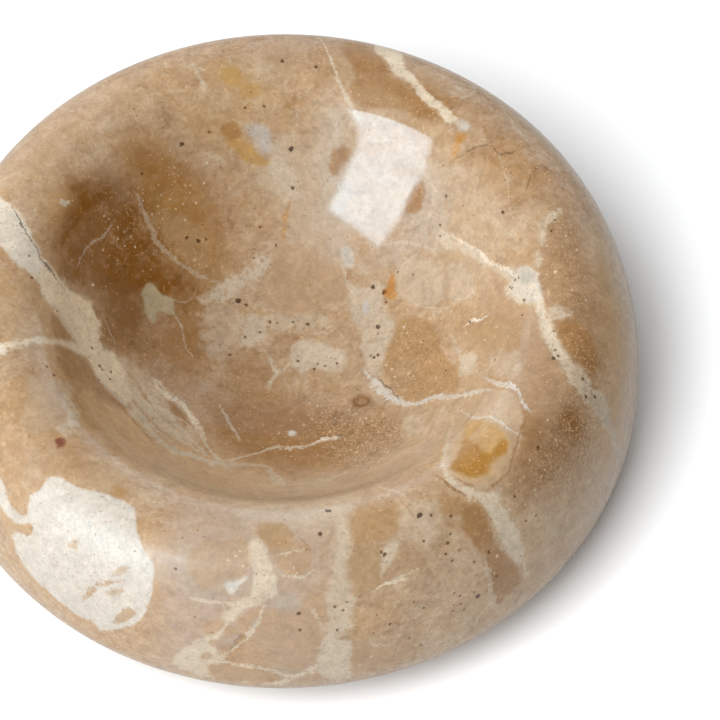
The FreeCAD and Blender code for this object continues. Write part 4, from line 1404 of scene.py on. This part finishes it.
stage = {
    "floorHalf": 3.0,
    "floorSeen": (1.0, 1.0, 1.0, 1.0),  # floor as the camera sees it, burnt out where no shadow falls
    "floorGloss": (0.56, 0.56, 0.56, 1.0),  # floor as the polish shows it
    "floorBounce": (0.6, 0.6, 0.6, 1.0),  # floor as it lights the dish
    "skyLight": 0.04,  # all round, on matt surfaces
    "skyGloss": 0.048,  # the same as seen in a polished surface
    "skySeen": 1.0,  # the backdrop past the floor, white
    "sky": (1.0, 1.0, 1.0, 1.0),
    "lampAim": 0.03,  # height on the axis that the lamps turn to
}
plainWhite, floorWhite = (1.0, 1.0, 1.0), (0.97, 0.985, 1.0)
coolWhite, backdropWhite = (0.6, 0.83, 1.0), (0.8, 0.9, 1.0)
# turn to the left from the camera's side and rise in degrees, distance and size in metres, watts, colour,
# rays that see it, what it lights
lamps = {
    "overhead": (28, 56, 1.3, (0.55, 0.70), 14, plainWhite, "diffuse", "dish"),
    "leftPanel": (67, 25, 1.3, (1.35, 0.92), 8.6, plainWhite, "diffuse", "dish"),
    "leftBack": (122, 25, 1.3, (1.35, 0.70), 4.6, plainWhite, "diffuse", "dish"),
    "backPanel": (184, 24, 1.3, (1.65, 0.70), 9.6, plainWhite, "diffuse", "dish"),
    "rightFill": (-75, 10, 1.3, (1.4, 0.45), 1.6, plainWhite, "diffuse", "dish"),
    "floorKey": (31, 57, 1.3, (0.7, 0.8), 24.2, floorWhite, "diffuse", "floor"),
    "floorFill": (60, 80, 1.3, (2.6, 2.6), 11.8, floorWhite, "diffuse", "floor"),
    "softbox": (46.5, 26.5, 1.0, (0.52, 0.592), 10.4, coolWhite, "glossy", "dish"),
    "softboxFoot": (47, 4.5, 1.0, (0.54, 0.193), 3.5, coolWhite, "glossy", "dish"),
    "backdrop": (180, 11, 1.5, (3.4, 0.75), 9, backdropWhite, "glossy", "dish"),
    "backdropTop": (180, 35, 1.5, (3.0, 0.52), 2.6, backdropWhite, "glossy", "dish"),
}


def addFloor(s):
    half = s["floorHalf"]
    mesh = bpy.data.meshes.new("floor")
    corners = [(-half, -half, 0), (half, -half, 0), (half, half, 0), (-half, half, 0)]
    mesh.from_pydata(corners, [], [(0, 1, 2, 3)])
    finish = Finish("paleFloor")
    shaders = [finish.node("ShaderNodeBsdfDiffuse", {}, {"Color": s[key]})
               for key in ("floorBounce", "floorGloss", "floorSeen")]
    finish.node("ShaderNodeOutputMaterial", {}, {"Surface": finish.byRay(*shaders)})
    mesh.materials.append(finish.material)
    floor = bpy.data.objects.new("floor", mesh)
    bpy.context.scene.collection.objects.link(floor)
    return floor


def addSoftbox(s, name, turn, rise, distance, size, power, tint, seenIn, lit):
    turn, rise = math.radians(turn), math.radians(rise)
    out = Vector((-math.sin(turn) * math.cos(rise), -math.cos(turn) * math.cos(rise), math.sin(rise)))
    data = bpy.data.lights.new(name, "AREA")
    data.shape = "RECTANGLE"
    data.size, data.size_y = size
    data.energy = power
    data.color = tint
    lamp = bpy.data.objects.new(name, data)
    lamp.location = out * distance + Vector((0, 0, s["lampAim"]))
    lamp.rotation_euler = out.to_track_quat("Z", "Y").to_euler()
    lamp.visible_diffuse = seenIn == "diffuse"
    lamp.visible_glossy = seenIn == "glossy"
    lamp.light_linking.receiver_collection = lit
    bpy.context.scene.collection.objects.link(lamp)


def addWorld(s):
    world = bpy.data.worlds.new("studio")
    world.use_nodes = True
    world.node_tree.nodes.clear()
    finish = Finish(world.node_tree)
    skies = [finish.node("ShaderNodeBackground", {}, {"Color": s["sky"], "Strength": s[key]})
             for key in ("skyLight", "skyGloss", "skySeen")]
    finish.node("ShaderNodeOutputWorld", {}, {"Surface": finish.byRay(*skies)})
    bpy.context.scene.world = world


floor = addFloor(stage)
lit = {"dish": bpy.data.collections.new("litDish"), "floor": bpy.data.collections.new("litFloor")}
for piece in (dish, *pads):
    lit["dish"].objects.link(piece)
lit["floor"].objects.link(floor)
for name, (*lampSettings, lights) in lamps.items():
    addSoftbox(stage, name, *lampSettings, lit[lights])
addWorld(stage)
bpy.context.scene.view_settings.view_transform = "Standard"
print("stage lit")
